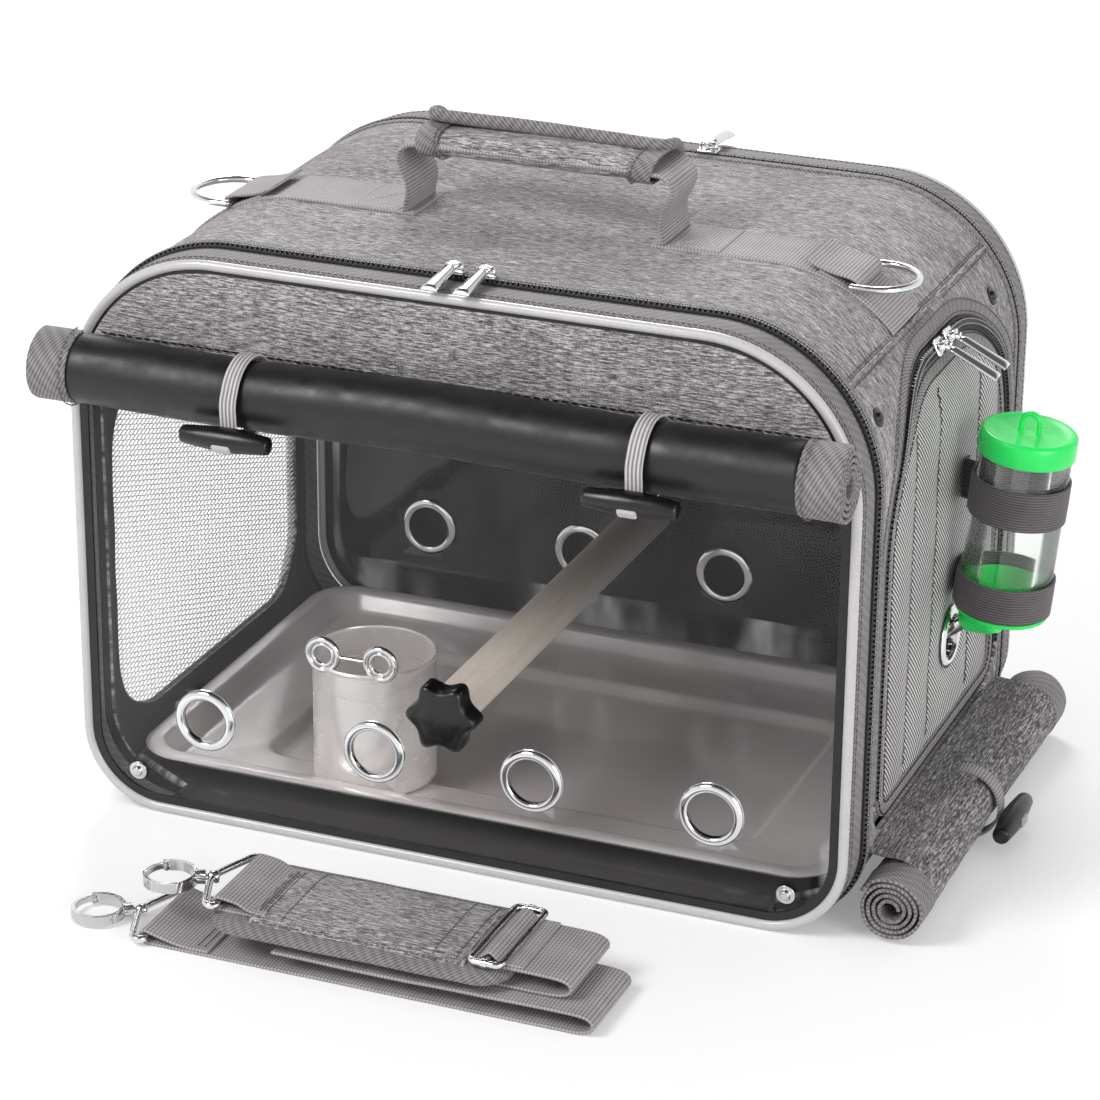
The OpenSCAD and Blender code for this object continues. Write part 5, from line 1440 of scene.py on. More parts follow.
@dataclass
class BackDoor(ClearDoor):
    """The back door, with its shade let down over the film."""

    shade_z: float = 24.0
    knob_top: float = 104.0
    stand_off: float = 155.2

    def depth_at(self, z: float) -> float:
        """Gives the depth at which the shade hangs at a height: it slopes out over the knob."""
        share = max(0.0, z - self.knob_top) / (self.cloth_edge.z1 - self.knob_top)
        return self.stand_off - share * (self.stand_off - self.hoop_y - 1.9)

    def make_shade(self) -> None:
        """Makes the lowered shade, hanging in slight folds from the top of the door and over the knob."""
        top = self.cloth_edge.z1

        def flat(u: float, v: float) -> tuple[float, float]:
            return self.cloth_at(self.shade_z, u, v)

        def place(u: float, v: float) -> Vector:
            x, z = flat(u, v)
            free = (1 - v) ** 1.3
            fold = 0.9 * sin(x / 25) + 0.9 * wander((x, z / 3, 0), 40, 9)
            wave = free * fold + 0.35 * wander((x, z, 0), 30, 2)
            fall = 3.2 * free * (min(abs(x), 190) / 190) ** 2
            return Vector((x, self.depth_at(z) + wave * min(1.0, 8 * (1 - v)) - fall, z))

        shade = face_from(mapped(140, 90, place, flat), (0, 0, 150))
        area = sum(f.calc_area() for f in shade.faces) * MM * MM
        piece = self.bench.store(shade, "back_shade_cloth", self.body, "shade_cloth", "heather coated", "back_shade")
        self.bench.walled(piece, 1.0, 1)
        hem = Route([place(k / 160, 0.015) + Vector((0, 0.5, 0)) for k in range(161)], Y)
        self.bench.store(gather(hem.band(1.2, 8.4), stitches(hem.shifted(0.8, 3.0), 3.0)), "back_shade_hem",
                         self.body, "tape", "twill")

    def build(self) -> None:
        """Makes the whole door."""
        self.make_hoop("back_frame")
        # The back film takes the dark film finish, painted shade for the view through it.
        self.make_film("back_window", "painted_dark_film")
        self.make_eyelets("back_eyelets")
        self.make_shade()
        self.make_knob("perch_knob_back", "knob_back")


# ---- Side door and bottle ----


@dataclass
class SideDoor:
    """The arched side door: mesh panel, bound edge, sewn channels, eyelet, bands and bottle."""

    bench: Bench
    bag: Bag
    body: str = "side_door"
    channels: Sequence[float] = (-52.0, -15.0, 52.0)
    spout: tuple[float, float] = (18.0, 95.0)
    middle: Sequence[float] = (226.1, 14.0, 117.0)
    lean: float = 5.5
    bottle_r: float = 22.3

    def from_spout(self, y: float, z: float) -> float:
        """Gives the distance from the middle of the spout's eyelet."""
        return hypot(y - self.spout[0], z - self.spout[1])

    def puff(self, y: float, z: float) -> float:
        """Gives how far the padded panel stands out between its channels."""
        stops = [self.bag.door.x0 + 10, *self.channels, self.bag.door.x1 - 10]
        swell = 0.0
        for a, b in zip(stops, stops[1:]):
            if a <= y <= b:
                swell = sin(pi * (y - a) / (b - a)) ** 0.6
        ends = min(1.0, max(0.0, (z - 44) / 22), max(0.0, (246 - z) / 30))
        clear = min(1.0, max(0.0, (self.from_spout(y, z) - 16) / 10))
        return -1.2 + ends * (1.9 * swell + 0.5 * wander((y, z, 0), 30, 3)) * clear

    def make_panel(self) -> None:
        """Makes the mesh panel with its channels and its bound edge."""
        loop, bag = self.bag.door, self.bag

        def flat(u: float, v: float) -> tuple[float, float]:
            z = loop.z0 + 0.5 + (loop.z1 - loop.z0 - 1.0) * v
            y0, y1 = loop.edge(z, -0.5)
            return y0 + (y1 - y0) * u, z

        def place(u: float, v: float) -> Vector:
            y, z = flat(u, v)
            return bag.side(Side.RIGHT, y, z, self.puff(y, z))

        shape = mapped(120, 150, place, lambda u, v: (flat(u, v)[0], bag.line.length_at(flat(u, v)[1])))
        hole = [f for f in shape.faces if self.from_spout(*f.calc_center_median().yz) < 11.8]
        bmesh.ops.delete(shape, geom=hole, context="FACES")
        panel = self.bench.store(face_from(shape, (0, 0, 140)), "side_door_mesh", self.body, "heather_cloth",
                                 "mesh_cloth lining", "side_door_panel")
        self.bench.walled(panel, 2.2, 1)
        edge = bag.side_route(Side.RIGHT, loop, -4.6, -0.3)
        tape = edge.sweep([(-1.2, -4.2), (0.0, -4.0), (0.9, -1.5), (1.0, 0), (0.9, 1.5), (0.0, 4.0), (-1.2, 4.2),
                           (-2.2, 0)])
        self.bench.store(tape, "side_door_edge", self.body, "tape", "twill")
        rows = [stitches(edge.shifted(0.75, side), 3.0) for side in (3.0, -3.0)]
        for y in self.channels:
            rows += [Route(run, X).tube(0.42, 5) for run in self.zigzags(y) if len(run) > 3]
        self.bench.store(gather(*rows), "side_door_seams", self.body, "tape", "edge_tape")

    def zigzags(self, y: float) -> list[list[Vector]]:
        """Gives the runs of zigzag thread up a channel, parted where the eyelet is."""
        loop, pitch, low = self.bag.door, 2.6, 56
        top = next(z for z in range(249, 60, -1) if loop.edge(z)[0] < y - 8 and loop.edge(z)[1] > y + 8) - 8
        runs: list[list[Vector]] = [[]]
        for k in range(int((top - low) / pitch)):
            z = low + pitch * k
            point = self.bag.side(Side.RIGHT, y + (1.5 if k % 2 else -1.5), z, self.puff(y, z) + 0.25)
            if self.from_spout(point.y, point.z) <= 18:
                continue
            if runs[-1] and (point - runs[-1][-1]).length > 8:
                runs.append([])
            runs[-1].append(point)
        return runs

    def make_eyelet(self) -> None:
        """Makes the rolled eyelet that the spout goes through."""
        profile = [(11.5, 0.2), (11.7, 1.3), (12.6, 1.7), (14.2, 1.6), (15.6, 0.9), (16.0, 0.3), (15.0, 0.2),
                   (12.6, 0.1), (12.6, -2.1), (15.2, -2.2), (15.9, -2.6), (15.0, -3.3), (12.6, -3.5), (11.5, -2.8),
                   (11.5, 0.2)]
        turn = Matrix.Translation((self.bag.line.half, *self.spout)) @ spin(90, "Y") @ Matrix.Scale(0.94, 4, Z)
        self.bench.store(moved(turned(profile, 56), turn), "side_door_eyelet", self.body, "chrome", "chrome",
                         "side_eyelet", sharp=50)

    @property
    def stand(self) -> Matrix:
        """The bottle's own frame, leaning away from the door at its top."""
        return Matrix.Translation(self.middle) @ spin(self.lean, "Y")

    def make_bands(self) -> None:
        """Makes the two elastic bands that hold the bottle."""
        bands, marks, r = [], [], self.bottle_r + 0.85
        turn = self.stand.to_3x3()
        up = turn @ Z
        for low, width in ((1.2, 17.6), (50.2, 19.6)):
            base = self.stand @ Vector((0, 0, low + width / 2))
            ring = Route([base + turn @ Vector((a, b, 0)) for a, b in oval(r, r, 72)], up, True)
            tail = [Vector((200.7, base.y + 17, base.z)), Vector((201.2, base.y + 11, base.z)),
                    base + turn @ Vector((-r - 0.4, 2, 0)), base + turn @ Vector((-r * 0.97, -8, 0))]
            for route in (ring, Route(smooth_line(tail, 1.6), up)):
                bands.append(route.sweep(strap_edge(width, 1.2)))
            ends = [(201.5, base.y + 15.5, base.z + share * width) for share in (-0.45, 0.45)]
            marks.append(stitches(straight(*ends, 2, Y), 2.6))
        self.bench.store(gather(*bands), "bottle_elastic_bands", self.body, "webbing", "band", "bottle_bands")
        self.bench.store(gather(*marks), "bottle_band_stitches", self.body, "webbing", "thread")

    def make_bottle(self) -> None:
        """Makes the clear bottle with its printed panel left bare, and the green parts of its spout."""
        r = self.bottle_r
        shell = turned([(r - 1.3, 0.4), (r, 0.4), (r, 6), (r + 0.05, 40), (r, 84), (r - 0.5, 88), (r - 1.8, 88),
                        (r - 1.6, 60), (r - 1.35, 20), (r - 1.3, 0.4)], 72)
        self.bench.store(moved(shell, self.stand), "bottle_shell", self.body, "bottle_plastic", "clear_plastic",
                         "bottle_body", sharp=50)
        plug = turned([(0, 2.2), (r - 8, 2.4), (r - 4, 4.0), (r - 2.4, 12.5), (r - 1.5, 12.8), (r - 1.45, 0.3),
                       (r + 0.1, 0.1), (r + 0.1, -1.6), (r - 1.2, -2.4), (0, -2.6)], 64)
        nozzle = turned([(0, 0), (10.2, 0.0), (10.8, 0.8), (10.2, 5), (8.2, 10.5), (6.2, 15.6), (5.4, 16.8),
                         (4.4, 17.2), (0, 17.2)], 40)
        aim = Vector((-0.899, 0, -0.438)).to_track_quat("Z", "Y").to_matrix().to_4x4()
        spout = gather(moved(plug, self.stand), moved(nozzle, Matrix.Translation((222.4, 14, 113.9)) @ aim))
        self.bench.store(spout, "bottle_spout_body", self.body, "green_plastic", "green", "bottle_spout", sharp=50)
        start, end = Vector((209.1, 14.5, 107)), Vector((186, 18, 88))
        tube = straight(start, end, 15, Y).tube(3.4, 20)
        tip = bmesh.new()
        bmesh.ops.create_uvsphere(tip, u_segments=18, v_segments=12, radius=3.0, matrix=Matrix.Translation(end))
        self.bench.store(gather(tube, tip), "bottle_drinking_tube", self.body, "steel", "chrome", sharp=50)

    def make_cap(self) -> None:
        """Makes the screw cap with its stepped rim and hanging loop."""
        rise = 80.5
        profile = [(0, 12.2), (16.5, 12.2), (19.4, 12.6), (21.0, 13.2), (22.6, 12.9), (23.5, 11.8), (23.7, 9),
                   (23.8, 2.2), (23.4, 1.4), (22.7, 1.3), (22.6, 8), (0, 8.2)]
        top = turned([(r, rise + z) for r, z in profile], 72)
        bow = [Vector((4.2 * cos(t), 0, rise + 17.4 + 4.2 * sin(t))) for t in angles(12, pi, True)]
        line = [Vector((4.5, 0, rise + 11.5)), *bow, Vector((-4.5, 0, rise + 11.5))]
        loop = Route(smooth_line(line, 0.8), Y).sweep(oval(1.9, 1.15, 12))
        self.bench.store(moved(gather(top, loop), self.stand), "bottle_screw_cap", "cap", "green_plastic", "green",
                         "bottle_cap", sharp=45)

    def build(self) -> None:
        """Makes the whole door."""
        for step in (self.make_panel, self.make_eyelet, self.make_bands, self.make_bottle, self.make_cap):
            step()


@dataclass
class SideShade:
    """The rolled side shade with its link strip, tie band and toggle."""

    bench: Bench
    axis: tuple[float, float] = (218.1, 17.8)
    radius: float = 17.0
    half: float = 128.0
    tie_y: float = -2.0

    def make_roll(self) -> None:
        """Winds the cloth shade, wider and looser at its ends, with twill-bound edges."""
        winding = Winding(4.4, 4.6, self.radius - 0.8, self.half, 150)

        def wound(y: float, share: float, proud: float) -> Vector:
            angle, radius = winding.spiral(share)
            c, s = cos(angle), sin(angle)
            dent = 0.9 * wander((30 * c, y / 3, 30 * s), 20, 12) + 0.4 * wander((40 * c, y, 40 * s), 13, 2)
            pinch = 1.0 * exp(-((y - self.tie_y) / 9) ** 2)
            radius += (proud + dent - pinch) * (0.25 + 0.75 * share)
            x, z = self.axis[0] + radius * c, self.axis[1] + radius * s * (1 - 0.02 * share)
            return Vector((max(200.4, x), y, max(0.4 if proud else 1.2, z)))

        whole = winding.length
        for y0, y1, cells, proud, end in winding.stretches(100, 0.7, 0.2, 0.3, ("front", "back")):
            sheet = mapped(cells, 150, lambda u, v: wound(y0 + (y1 - y0) * u, v, proud),
                           lambda u, v: (y0 + (y1 - y0) * u, whole * v))
            # The roll's cloth takes the darker heather, painted shade for where it lies on the floor beside the bag.
            slot, finish, thick = ("tape", "twill", 1.5) if proud else ("heather_cloth", "heather_painted_shade", 0.8)
            piece = self.bench.store(sheet, f"side_shade_{end}", "bag", slot, finish,
                                     "" if proud else "side_shade_roll")
            self.bench.walled(piece, thick)

    def make_link(self) -> None:
        """Makes the strip of cloth from the bag's side to the roll, with its stitched edge."""
        y0, y1 = -self.half + 20, self.half - 20
        path = ((199.0, 36.5), (201.5, 36.2), (208, 35.6), (216, 35.5), (224, 33.2))
        line = smooth_line([(x, y0, z) for x, z in path], 1.2)

        def place(u: float, v: float) -> Vector:
            point = line[round(u * (len(line) - 1))].copy()
            point.y = y0 + (y1 - y0) * v
            point.z += 0.3 * wander((point.x, point.y, 0), 24, 4)
            return point

        strip = mapped(len(line) - 1, 70, place, lambda u, v: ((y1 - y0) * v, u * 26))
        # The strip takes the darker heather, painted shade.
        piece = self.bench.store(face_from(strip, (210, 0, 0)), "side_shade_link", "bag", "heather_cloth",
                                 "heather_painted_shade")
        self.bench.walled(piece, 1.0)

    def make_tie(self) -> None:
        """Makes the tie band round the roll and the knot that holds the toggle."""
        cx, cz = self.axis
        r = self.radius + 0.7
        ring = [Vector((cx + a, self.tie_y, max(1.0, cz + b))) for a, b in oval(r, r, 72)]
        band = Route(ring, Y, True)
        strip = band.sweep(strap_edge(8.8, 1.2, 0.1))
        middle, toe = Vector((cx, self.tie_y, cz)), Vector((242.1, self.tie_y, 12.7))
        start = middle + (toe - middle).normalized() * r
        line = [start, start.lerp(toe, 0.5) + Vector((0, 0, 0.4)), toe + Vector((2.6, 0, 0.4))]
        knot = Route(smooth_line(line, 0.8), Y).band(7.6, 3.2)
        bow = moved(block((3.2, 9.5, 5.0), soften=1.3, segments=3), Matrix.Translation(toe + Vector((5.0, 0, -0.2))))
        self.bench.store(gather(strip, knot, bow), "side_shade_tie_band", "bag", "webbing", "webbing",
                         "side_shade_tie")
        turn = Matrix.Translation(toe) @ spin(90, "X") @ spin(12, "Z")
        self.bench.store(moved(toggle_shape(), turn), "side_shade_toggle", "bag", "black_plastic", "black",
                         "side_toggle", sharp=50)

    def build(self) -> None:
        """Makes the shade and its tie."""
        self.make_roll()
        self.make_link()
        self.make_tie()


# ---- Inside ----


@dataclass
class Tray:
    """The pressed steel tray: bright rolled rim, sloping wall, ledge and sunk floor."""

    bench: Bench
    half_x: float = 185.0
    half_y: float = 118.0
    floor_x: float = 134.0
    floor_y: float = 76.0

    @staticmethod
    def ring(half_x: float, half_y: float, radius: float, z: float, shape: Shape) -> list[bmesh.types.BMEdge]:
        """Adds a rounded rectangle at a height and gives its edges."""
        verts = []
        for x, y, start in ((1, 1, 0), (-1, 1, 90), (-1, -1, 180), (1, -1, 270)):
            cx, cy = x * (half_x - radius), y * (half_y - radius)
            for k in range(13):
                turn = radians(start + 90 * k / 12)
                verts.append(shape.verts.new((cx + radius * cos(turn), cy + radius * sin(turn), z)))
        return [shape.edges.new(pair) for pair in zip(verts, verts[1:] + verts[:1])]

    def build(self) -> None:
        """Makes the tray from bridged rings."""
        wall = [(1.2, 22.8, 19.7), (0, 24, 20.0), (-0.2, 24.2, 20.7), (0.8, 23.2, 21.35), (3.6, 21, 21.5),
                (7.4, 18, 21.4), (8.9, 17, 20.9), (9.8, 16.5, 19.8), (13.2, 14, 14.0), (15.4, 12.5, 11.7),
                (17.6, 11, 11.0), (20.5, 9.5, 10.85)]
        floor = [(0, 14, 10.85), (1.8, 13, 10.5), (3.2, 12, 9.2), (6.0, 9.5, 6.3), (7.6, 8.5, 5.5), (11.5, 7, 5.3)]
        shape = bmesh.new()
        loops = [self.ring(self.half_x - inset, self.half_y - inset, radius, z, shape) for inset, radius, z in wall]
        loops += [self.ring(self.floor_x - inset, self.floor_y - inset, radius, z, shape)
                  for inset, radius, z in floor]
        for outer, inner in zip(loops, loops[1:]):
            bmesh.ops.bridge_loops(shape, edges=outer + inner)
        bmesh.ops.edgeloop_fill(shape, edges=loops[-1])
        for vert in shape.verts:
            vert.co.z += 0.35 * wander((vert.co.x, vert.co.y, 0), 60, 2) if vert.co.z < 12 else 0.0
        bmesh.ops.recalc_face_normals(shape, faces=shape.faces)
        if sum(f.normal.z for f in shape.faces) < 0:
            bmesh.ops.reverse_faces(shape, faces=shape.faces)
        self.bench.walled(self.bench.store(shape, "steel_tray", "tray", "steel", "steel", "tray", sharp=60), 0.9)


@dataclass
class FeedCup:
    """The brushed steel cup with a rolled lip and two hanger rings."""

    bench: Bench
    place: Sequence[float] = (-69.0, -74.0, 11.1)
    radius: float = 31.0
    tall: float = 66.0
    rings: Sequence[float] = (-84.5, -53.5)

    def build(self) -> None:
        """Makes the cup and its rings."""
        r, h = self.radius, self.tall
        cup = turned([(0, 0.1), (r - 1.5, 0.1), (r - 0.2, 1.2), (r, 3.0), (r, h - 2.2), (r + 0.5, h - 0.9),
                      (r + 0.9, h + 0.3), (r + 0.3, h + 1.2), (r - 0.7, h + 1.1), (r - 1.1, h + 0.2),
                      (r - 0.9, h - 1.2), (r - 0.9, 3.2), (r - 2.2, 1.3), (0, 1.1)], 96)
        self.bench.store(moved(cup, Matrix.Translation(self.place)), "feed_cup_body", "cup", "satin_metal", "brushed",
                         "feed_cup", sharp=50)
        hangers = []
        for x in self.rings:
            for grow, wire in ((8.0, 1.6), (5.4, 0.9)):
                loop = [Vector((x + a, -101.0, 84.3 + b)) for a, b in oval(grow, grow, 48)]
                hangers.append(Route(loop, Y, True).tube(wire, 14))
        bar = straight((-76.7, -100.9, 84.2), (-61.3, -100.9, 84.2), 3, Y).tube(1.0, 12)
        self.bench.store(gather(*hangers, bar), "feed_cup_hangers", "cup", "chrome", "chrome", sharp=50)


# ---- Padded work ----


def swell(shape: Shape, voxel: float = 4.0, pressure: float = 4.0, cap: float = 3.0) -> Shape:
    """Puffs a closed form up as sewn cloth filled from inside, by a cloth simulation.

    Args:
        shape: The closed form in millimetres, slightly smaller than the finished pad.
        voxel: Size of the cells that the form is remeshed to.
        pressure: Pressure inside the cloth.
        cap: Farthest that a point may move, in millimetres.

    Returns:
        The puffed form in millimetres, smoothed once after the simulation.
    """
    bmesh.ops.scale(shape, vec=(MM,) * 3, verts=shape.verts)
    mesh = bpy.data.meshes.new("filling")
    shape.to_mesh(mesh)
    shape.free()
    form = stand_in_scene("filling", mesh)
    grid = form.modifiers.new("grid", "REMESH")
    grid.mode, grid.voxel_size = "VOXEL", voxel * MM
    even = bpy.data.meshes.new_from_object(form.evaluated_get(bpy.context.evaluated_depsgraph_get()))
    form.modifiers.clear()
    form.data = even
    start = [v.co.copy() for v in even.vertices]
    cloth = form.modifiers.new("cloth", "CLOTH")
    cloth.settings.use_pressure = True
    cloth.settings.uniform_pressure_force = pressure
    cloth.settings.effector_weights.gravity = 0
    cloth.point_cache.frame_start, cloth.point_cache.frame_end = 1, 20
    for step in range(1, 21):
        bpy.context.scene.frame_set(step)
    puffed = form.evaluated_get(bpy.context.evaluated_depsgraph_get()).to_mesh()
    ends = [v.co.copy() for v in puffed.vertices]
    form.modifiers.clear()
    bpy.context.scene.frame_set(1)
    for vert, a, b in zip(even.vertices, start, ends):
        step = b - a
        vert.co = a + step * min(1.0, cap * MM / step.length if step.length else 1.0)
    result = bmesh.new()
    result.from_mesh(even)
    bpy.data.objects.remove(form)
    bmesh.ops.smooth_vert(result, verts=result.verts, factor=0.5, use_axis_x=True, use_axis_y=True, use_axis_z=True)
    bmesh.ops.scale(result, vec=(1 / MM,) * 3, verts=result.verts)
    bmesh.ops.recalc_face_normals(result, faces=result.faces)
    return result


def filleted(points: Sequence[Sequence[float]], radius: float, step: float = 0.8) -> list[Vector]:
    """Gives a closed line round points with each corner rounded."""
    knots, line = [Vector(p) for p in points], []
    for i, knot in enumerate(knots):
        before, after = knots[i - 1] - knot, knots[(i + 1) % len(knots)] - knot
        a = knot + before.normalized() * min(radius, before.length * 0.45)
        b = knot + after.normalized() * min(radius, after.length * 0.45)
        line += [a.lerp(knot, t).lerp(knot.lerp(b, t), t) for t in angles(8, 1.0, True)]
    return even_line([*line, line[0].copy()], step)[:-1]


# ---- Handle ----


@dataclass
class Handle:
    """The carrying handle: two webbing legs, the padded grip and the cover that folds over it."""

    bench: Bench
    x: float = 67.0
    y: float = -22.0
    low: float = 297.1
    high: float = 327.1
    grip_half: float = 57.5

    def make_leg(self, sign: int, name: str) -> None:
        """Makes a webbing leg with its gentle bow and the stitched end on the bag."""
        path = [(-0.4, -1.3), (-0.9, 2.5), (-2.0, 8.0), (-1.4, 14.0), (1.4, 19.5), (3.2, 24.5), (2.4, 29.0),
                (-0.2, 31.4)]
        line = smooth_line([(sign * (self.x + dx), self.y, self.low + dz) for dx, dz in path], 1.0)
        leg = Route(line, Y)
        n = len(line) - 1

        def cut(i: int) -> list[tuple[float, float]]:
            half = 19.4 - 2.2 * (i / n) ** 2
            bow = 0.9 * sin(pi * i / n)
            return [(-half, 0), (-half * 0.9, -1.1), (0, -1.15 - bow * 0.4), (half * 0.9, -1.1), (half, 0),
                    (half * 0.9, 1.1), (0, 1.15 - bow * 0.4), (-half * 0.9, 1.1)]

        self.bench.store(leg.sweep(cut), f"handle_webbing_{name}", f"leg_{name}", "webbing", "webbing",
                         f"handle_leg_{name}")

    def make_feet(self) -> None:
        """Sews the legs down to the webbing on the bag's top with a box and cross of thread."""
        rows, feet = [], []
        for sign in (-1, 1):
            x0, x1, z = sign * 69.5, sign * 95.0, 297.1
            feet.append(straight((x0, self.y, z - 0.55), (x1, self.y, z - 0.55), 12, Y).band(37, 1.2))
            near, far = x0 + sign * 3, x1 - sign * 2
            places = ((near, -15.5), (far, -15.5), (far, 15.5), (near, 15.5))
            corners = [Vector((x, self.y + y, z + 0.1)) for x, y in places]
            for a, b in ((0, 1), (1, 2), (2, 3), (3, 0), (0, 2), (1, 3)):
                line = Route(even_line([corners[a], corners[b]], 2), Z.cross(corners[b] - corners[a]))
                rows.append(stitches(line, 2.6, 0.5, 0.5))
        self.bench.store(gather(*feet), "handle_feet", "bag", "webbing", "webbing")
        self.bench.store(gather(*rows), "handle_feet_stitches", "bag", "webbing", "thread")

    def make_grip(self) -> None:
        """Makes the padded grip on its webbing, with twill wraps at both ends."""
        z, half = self.high + 2.7, self.grip_half
        tongue = [(-self.x - 1.2, z - 2.6), (-self.x + 2, z - 0.3), (-half, z + 0.3), (0, z + 0.8), (half, z + 0.3),
                  (self.x - 2, z - 0.3), (self.x + 1.2, z - 2.6)]
        band = Route(smooth_line([(x, self.y, h) for x, h in tongue], 2.0), Y)
        self.bench.store(band.band(36, 2.0), "handle_tongue", "grip", "webbing", "webbing", "handle_grip")
        spine = [Vector((-half + 1.5 + (2 * half - 3) * k / 40, self.y, z + 0.2 + 0.9 * sin(pi * k / 40)))
                 for k in range(41)]
        core = Route(spine, Y)

        def cut(i: int) -> list[tuple[float, float]]:
            taper = 1 - 0.14 * abs(2 * i / 40 - 1) ** 4
            return plump(18.6 * taper, 6.6 * taper, 0.8, 0.75, 32)

        pad = swell(core.sweep(cut), 3.2, 4.0, 1.4)
        piece = self.bench.store(pad, "handle_grip_pad", "grip", "pad_cloth", "heather_place")
        self.bench.rounded(piece)
        wraps, rows = [], []
        for sign in (-1, 1):
            ring = plump(17.9, 7.0, 0.75, 0.8, 48)
            points = [Vector((sign * (half - 3.2 + 1.6 * b / 7), self.y + a, z + 0.4 + b)) for a, b in ring]
            loop = Route(points, X, True)
            wraps.append(loop.sweep([(-5.6, -0.7), (-2, -1.3), (2, -1.3), (5.6, -0.7), (5.6, 0.5), (-5.6, 0.5)]))
            rows.append(stitches(loop.shifted(-sign * 4.2, 1.0), 2.8))
        self.bench.store(gather(*wraps), "handle_grip_wraps", "grip", "tape", "twill")
        self.bench.store(gather(*rows), "handle_grip_stitches", "grip", "tape", "seam_thread")
        self.make_cover(z)

    def make_cover(self, z: float) -> None:
        """Makes the cover over the back half of the grip, with its thick bound edge standing a little open."""
        half, deep, corner = self.grip_half + 3.0, 33.0, 7.0
        fold = ((-0.5, 11.4), (5, 11.0), (12, 9.6), (17.5, 7.0), (21.2, 2.5), (21.4, -3.0), (19.6, -6.6))
        fall = smooth_line([(0, y, h) for y, h in fold], 1.0)

        def lie(x: float, w: float) -> Vector:
            spot = min(max(w / deep, 0.0), 1.0) * (len(fall) - 1)
            k = min(int(spot), len(fall) - 2)
            point = fall[k].lerp(fall[k + 1], spot - k)
            loose = max(0.0, 1 - w / deep)
            droop = (1.5 - 2.9 * ((x + half) / (2 * half)) ** 2) * loose
            return Vector((x, self.y + point.y + 1.2 * loose * sin(x / 40),
                           z + point.z + droop + 0.4 * wander((x, w, 0), 24, 3)))

        def flat(u: float, v: float) -> tuple[float, float]:
            w = deep * v
            reach = half - (corner - sqrt(max(0.0, corner ** 2 - (corner - w) ** 2)) if w < corner else 0.0)
            return -reach + 2 * reach * u, w

        cover = face_from(mapped(80, 30, lambda u, v: lie(*flat(u, v)), flat), (0, self.y, 325))
        self.bench.walled(self.bench.store(cover, "handle_cover", "grip", "pad_cloth", "heather"), 2.0)
        rounding = [(-half + corner - corner * cos(t), corner - corner * sin(t)) for t in angles(8, pi / 2, True)]
        edge = [(-half, deep - 1 - k) for k in range(int(deep - corner - 1))] + rounding
        edge += [(-half + corner + 2 * k, 0.0)
                 for k in range(1, int(half - corner))] + [(-x, w) for x, w in reversed(rounding)]
        edge += [(half, corner + k) for k in range(1, int(deep - corner))]
        rim = Route(even_line([lie(x, w) + Vector((0, 0, -1.0)) for x, w in edge], 1.5), Z)
        n = len(rim.points) - 1

        def bound(i: int) -> list[tuple[float, float]]:
            thick = 0.75 + 0.25 * sin(pi * i / n)
            return oval(3.5 * thick, 2.7 * thick, 16)

        self.bench.store(rim.sweep(bound), "handle_cover_binding", "grip", "tape", "twill")

    def build(self) -> None:
        """Makes the whole handle."""
        self.make_leg(-1, "left")
        self.make_leg(1, "right")
        self.make_feet()
        self.make_grip()
        for name in ("left", "right"):
            self.bench.store(soften_copy(f"d_ring_{name}"), f"carrying_ring_{name}", f"ring_{name}", "chrome",
                             "chrome", f"d_ring_{name}", sharp=70)


# ---- Zip sliders ----


@dataclass
class Slider:
    """A zip slider with its oval bail and the half-round pull that hangs on it."""

    bench: Bench
    name: str
    side: str
    key: str
    stand: Matrix
    droop: float
    lift: float = 4.2

    def make_slider(self) -> None:
        """Makes the slider's body with its nose and bail."""
        body = block((10.6, 7.4, 1.5), Matrix.Translation((0, 0, 0.75)), 0.6, 3)
        nose = block((4.6, 8.4, 1.2), Matrix.Translation((-2.6, 0, 1.2)), 0.5, 3)
        arch = [(4.2, 0.9), (4.4, 2.6), (3.6, self.lift + 0.2), (1.5, self.lift + 0.75)]
        legs = [Vector((-x, 0, z)) for x, z in arch] + [Vector((x, 0, z)) for x, z in reversed(arch)]
        bail = Route(smooth_line(legs, 0.6), Y).sweep(oval(1.5, 0.6, 12))
        shape = moved(gather(body, nose, bail), self.stand)
        self.bench.store(shape, f"{self.name}_slider_{self.side}_body", f"{self.name}_slider{self.key}", "chrome",
                         "chrome", f"{self.name}_slider{self.node_end}", sharp=45)

    @property
    def node_end(self) -> str:
        """The end of the frame's node names for this slider."""
        return "" if self.side == "middle" else f"_{self.side}"

    def make_pull(self) -> None:
        """Makes the pull: an oval head and a half-round bar that widens to its end."""
        def cut(i: int) -> list[tuple[float, float]]:
            share = i / 24
            wide = 3.0 + 1.1 * share - 0.6 * exp(-((share - 0.05) / 0.06) ** 2)
            tall = 2.6 * min(1.0, 0.35 + 5 * share) * (1.0 if share < 0.96 else 1 - 6 * (share - 0.96))
            arch = [(wide * cos(t), -0.9 + tall * sin(t)) for t in angles(14, pi, True)]
            return [*arch, (-wide * 0.96, -1.1), (wide * 0.96, -1.1)]

        bar = straight((0, -2.2, 0), (0, -29.6, 0), 24, X).sweep(cut)
        ring = Route([Vector((a, b - 0.9, 0.1)) for a, b in oval(2.55, 2.0, 28)], Z, True).sweep(oval(1.15, 0.75, 12))
        turn = self.stand @ Matrix.Translation((0, 0, self.lift)) @ spin(self.droop, "X")
        self.bench.store(moved(gather(bar, ring), turn), f"{self.name}_pull_{self.side}_bar",
                         f"{self.name}_pull{self.key}", "chrome", "chrome", f"{self.name}_pull{self.node_end}",
                         sharp=45)

    def build(self) -> None:
        """Makes both pieces."""
        self.make_slider()
        self.make_pull()


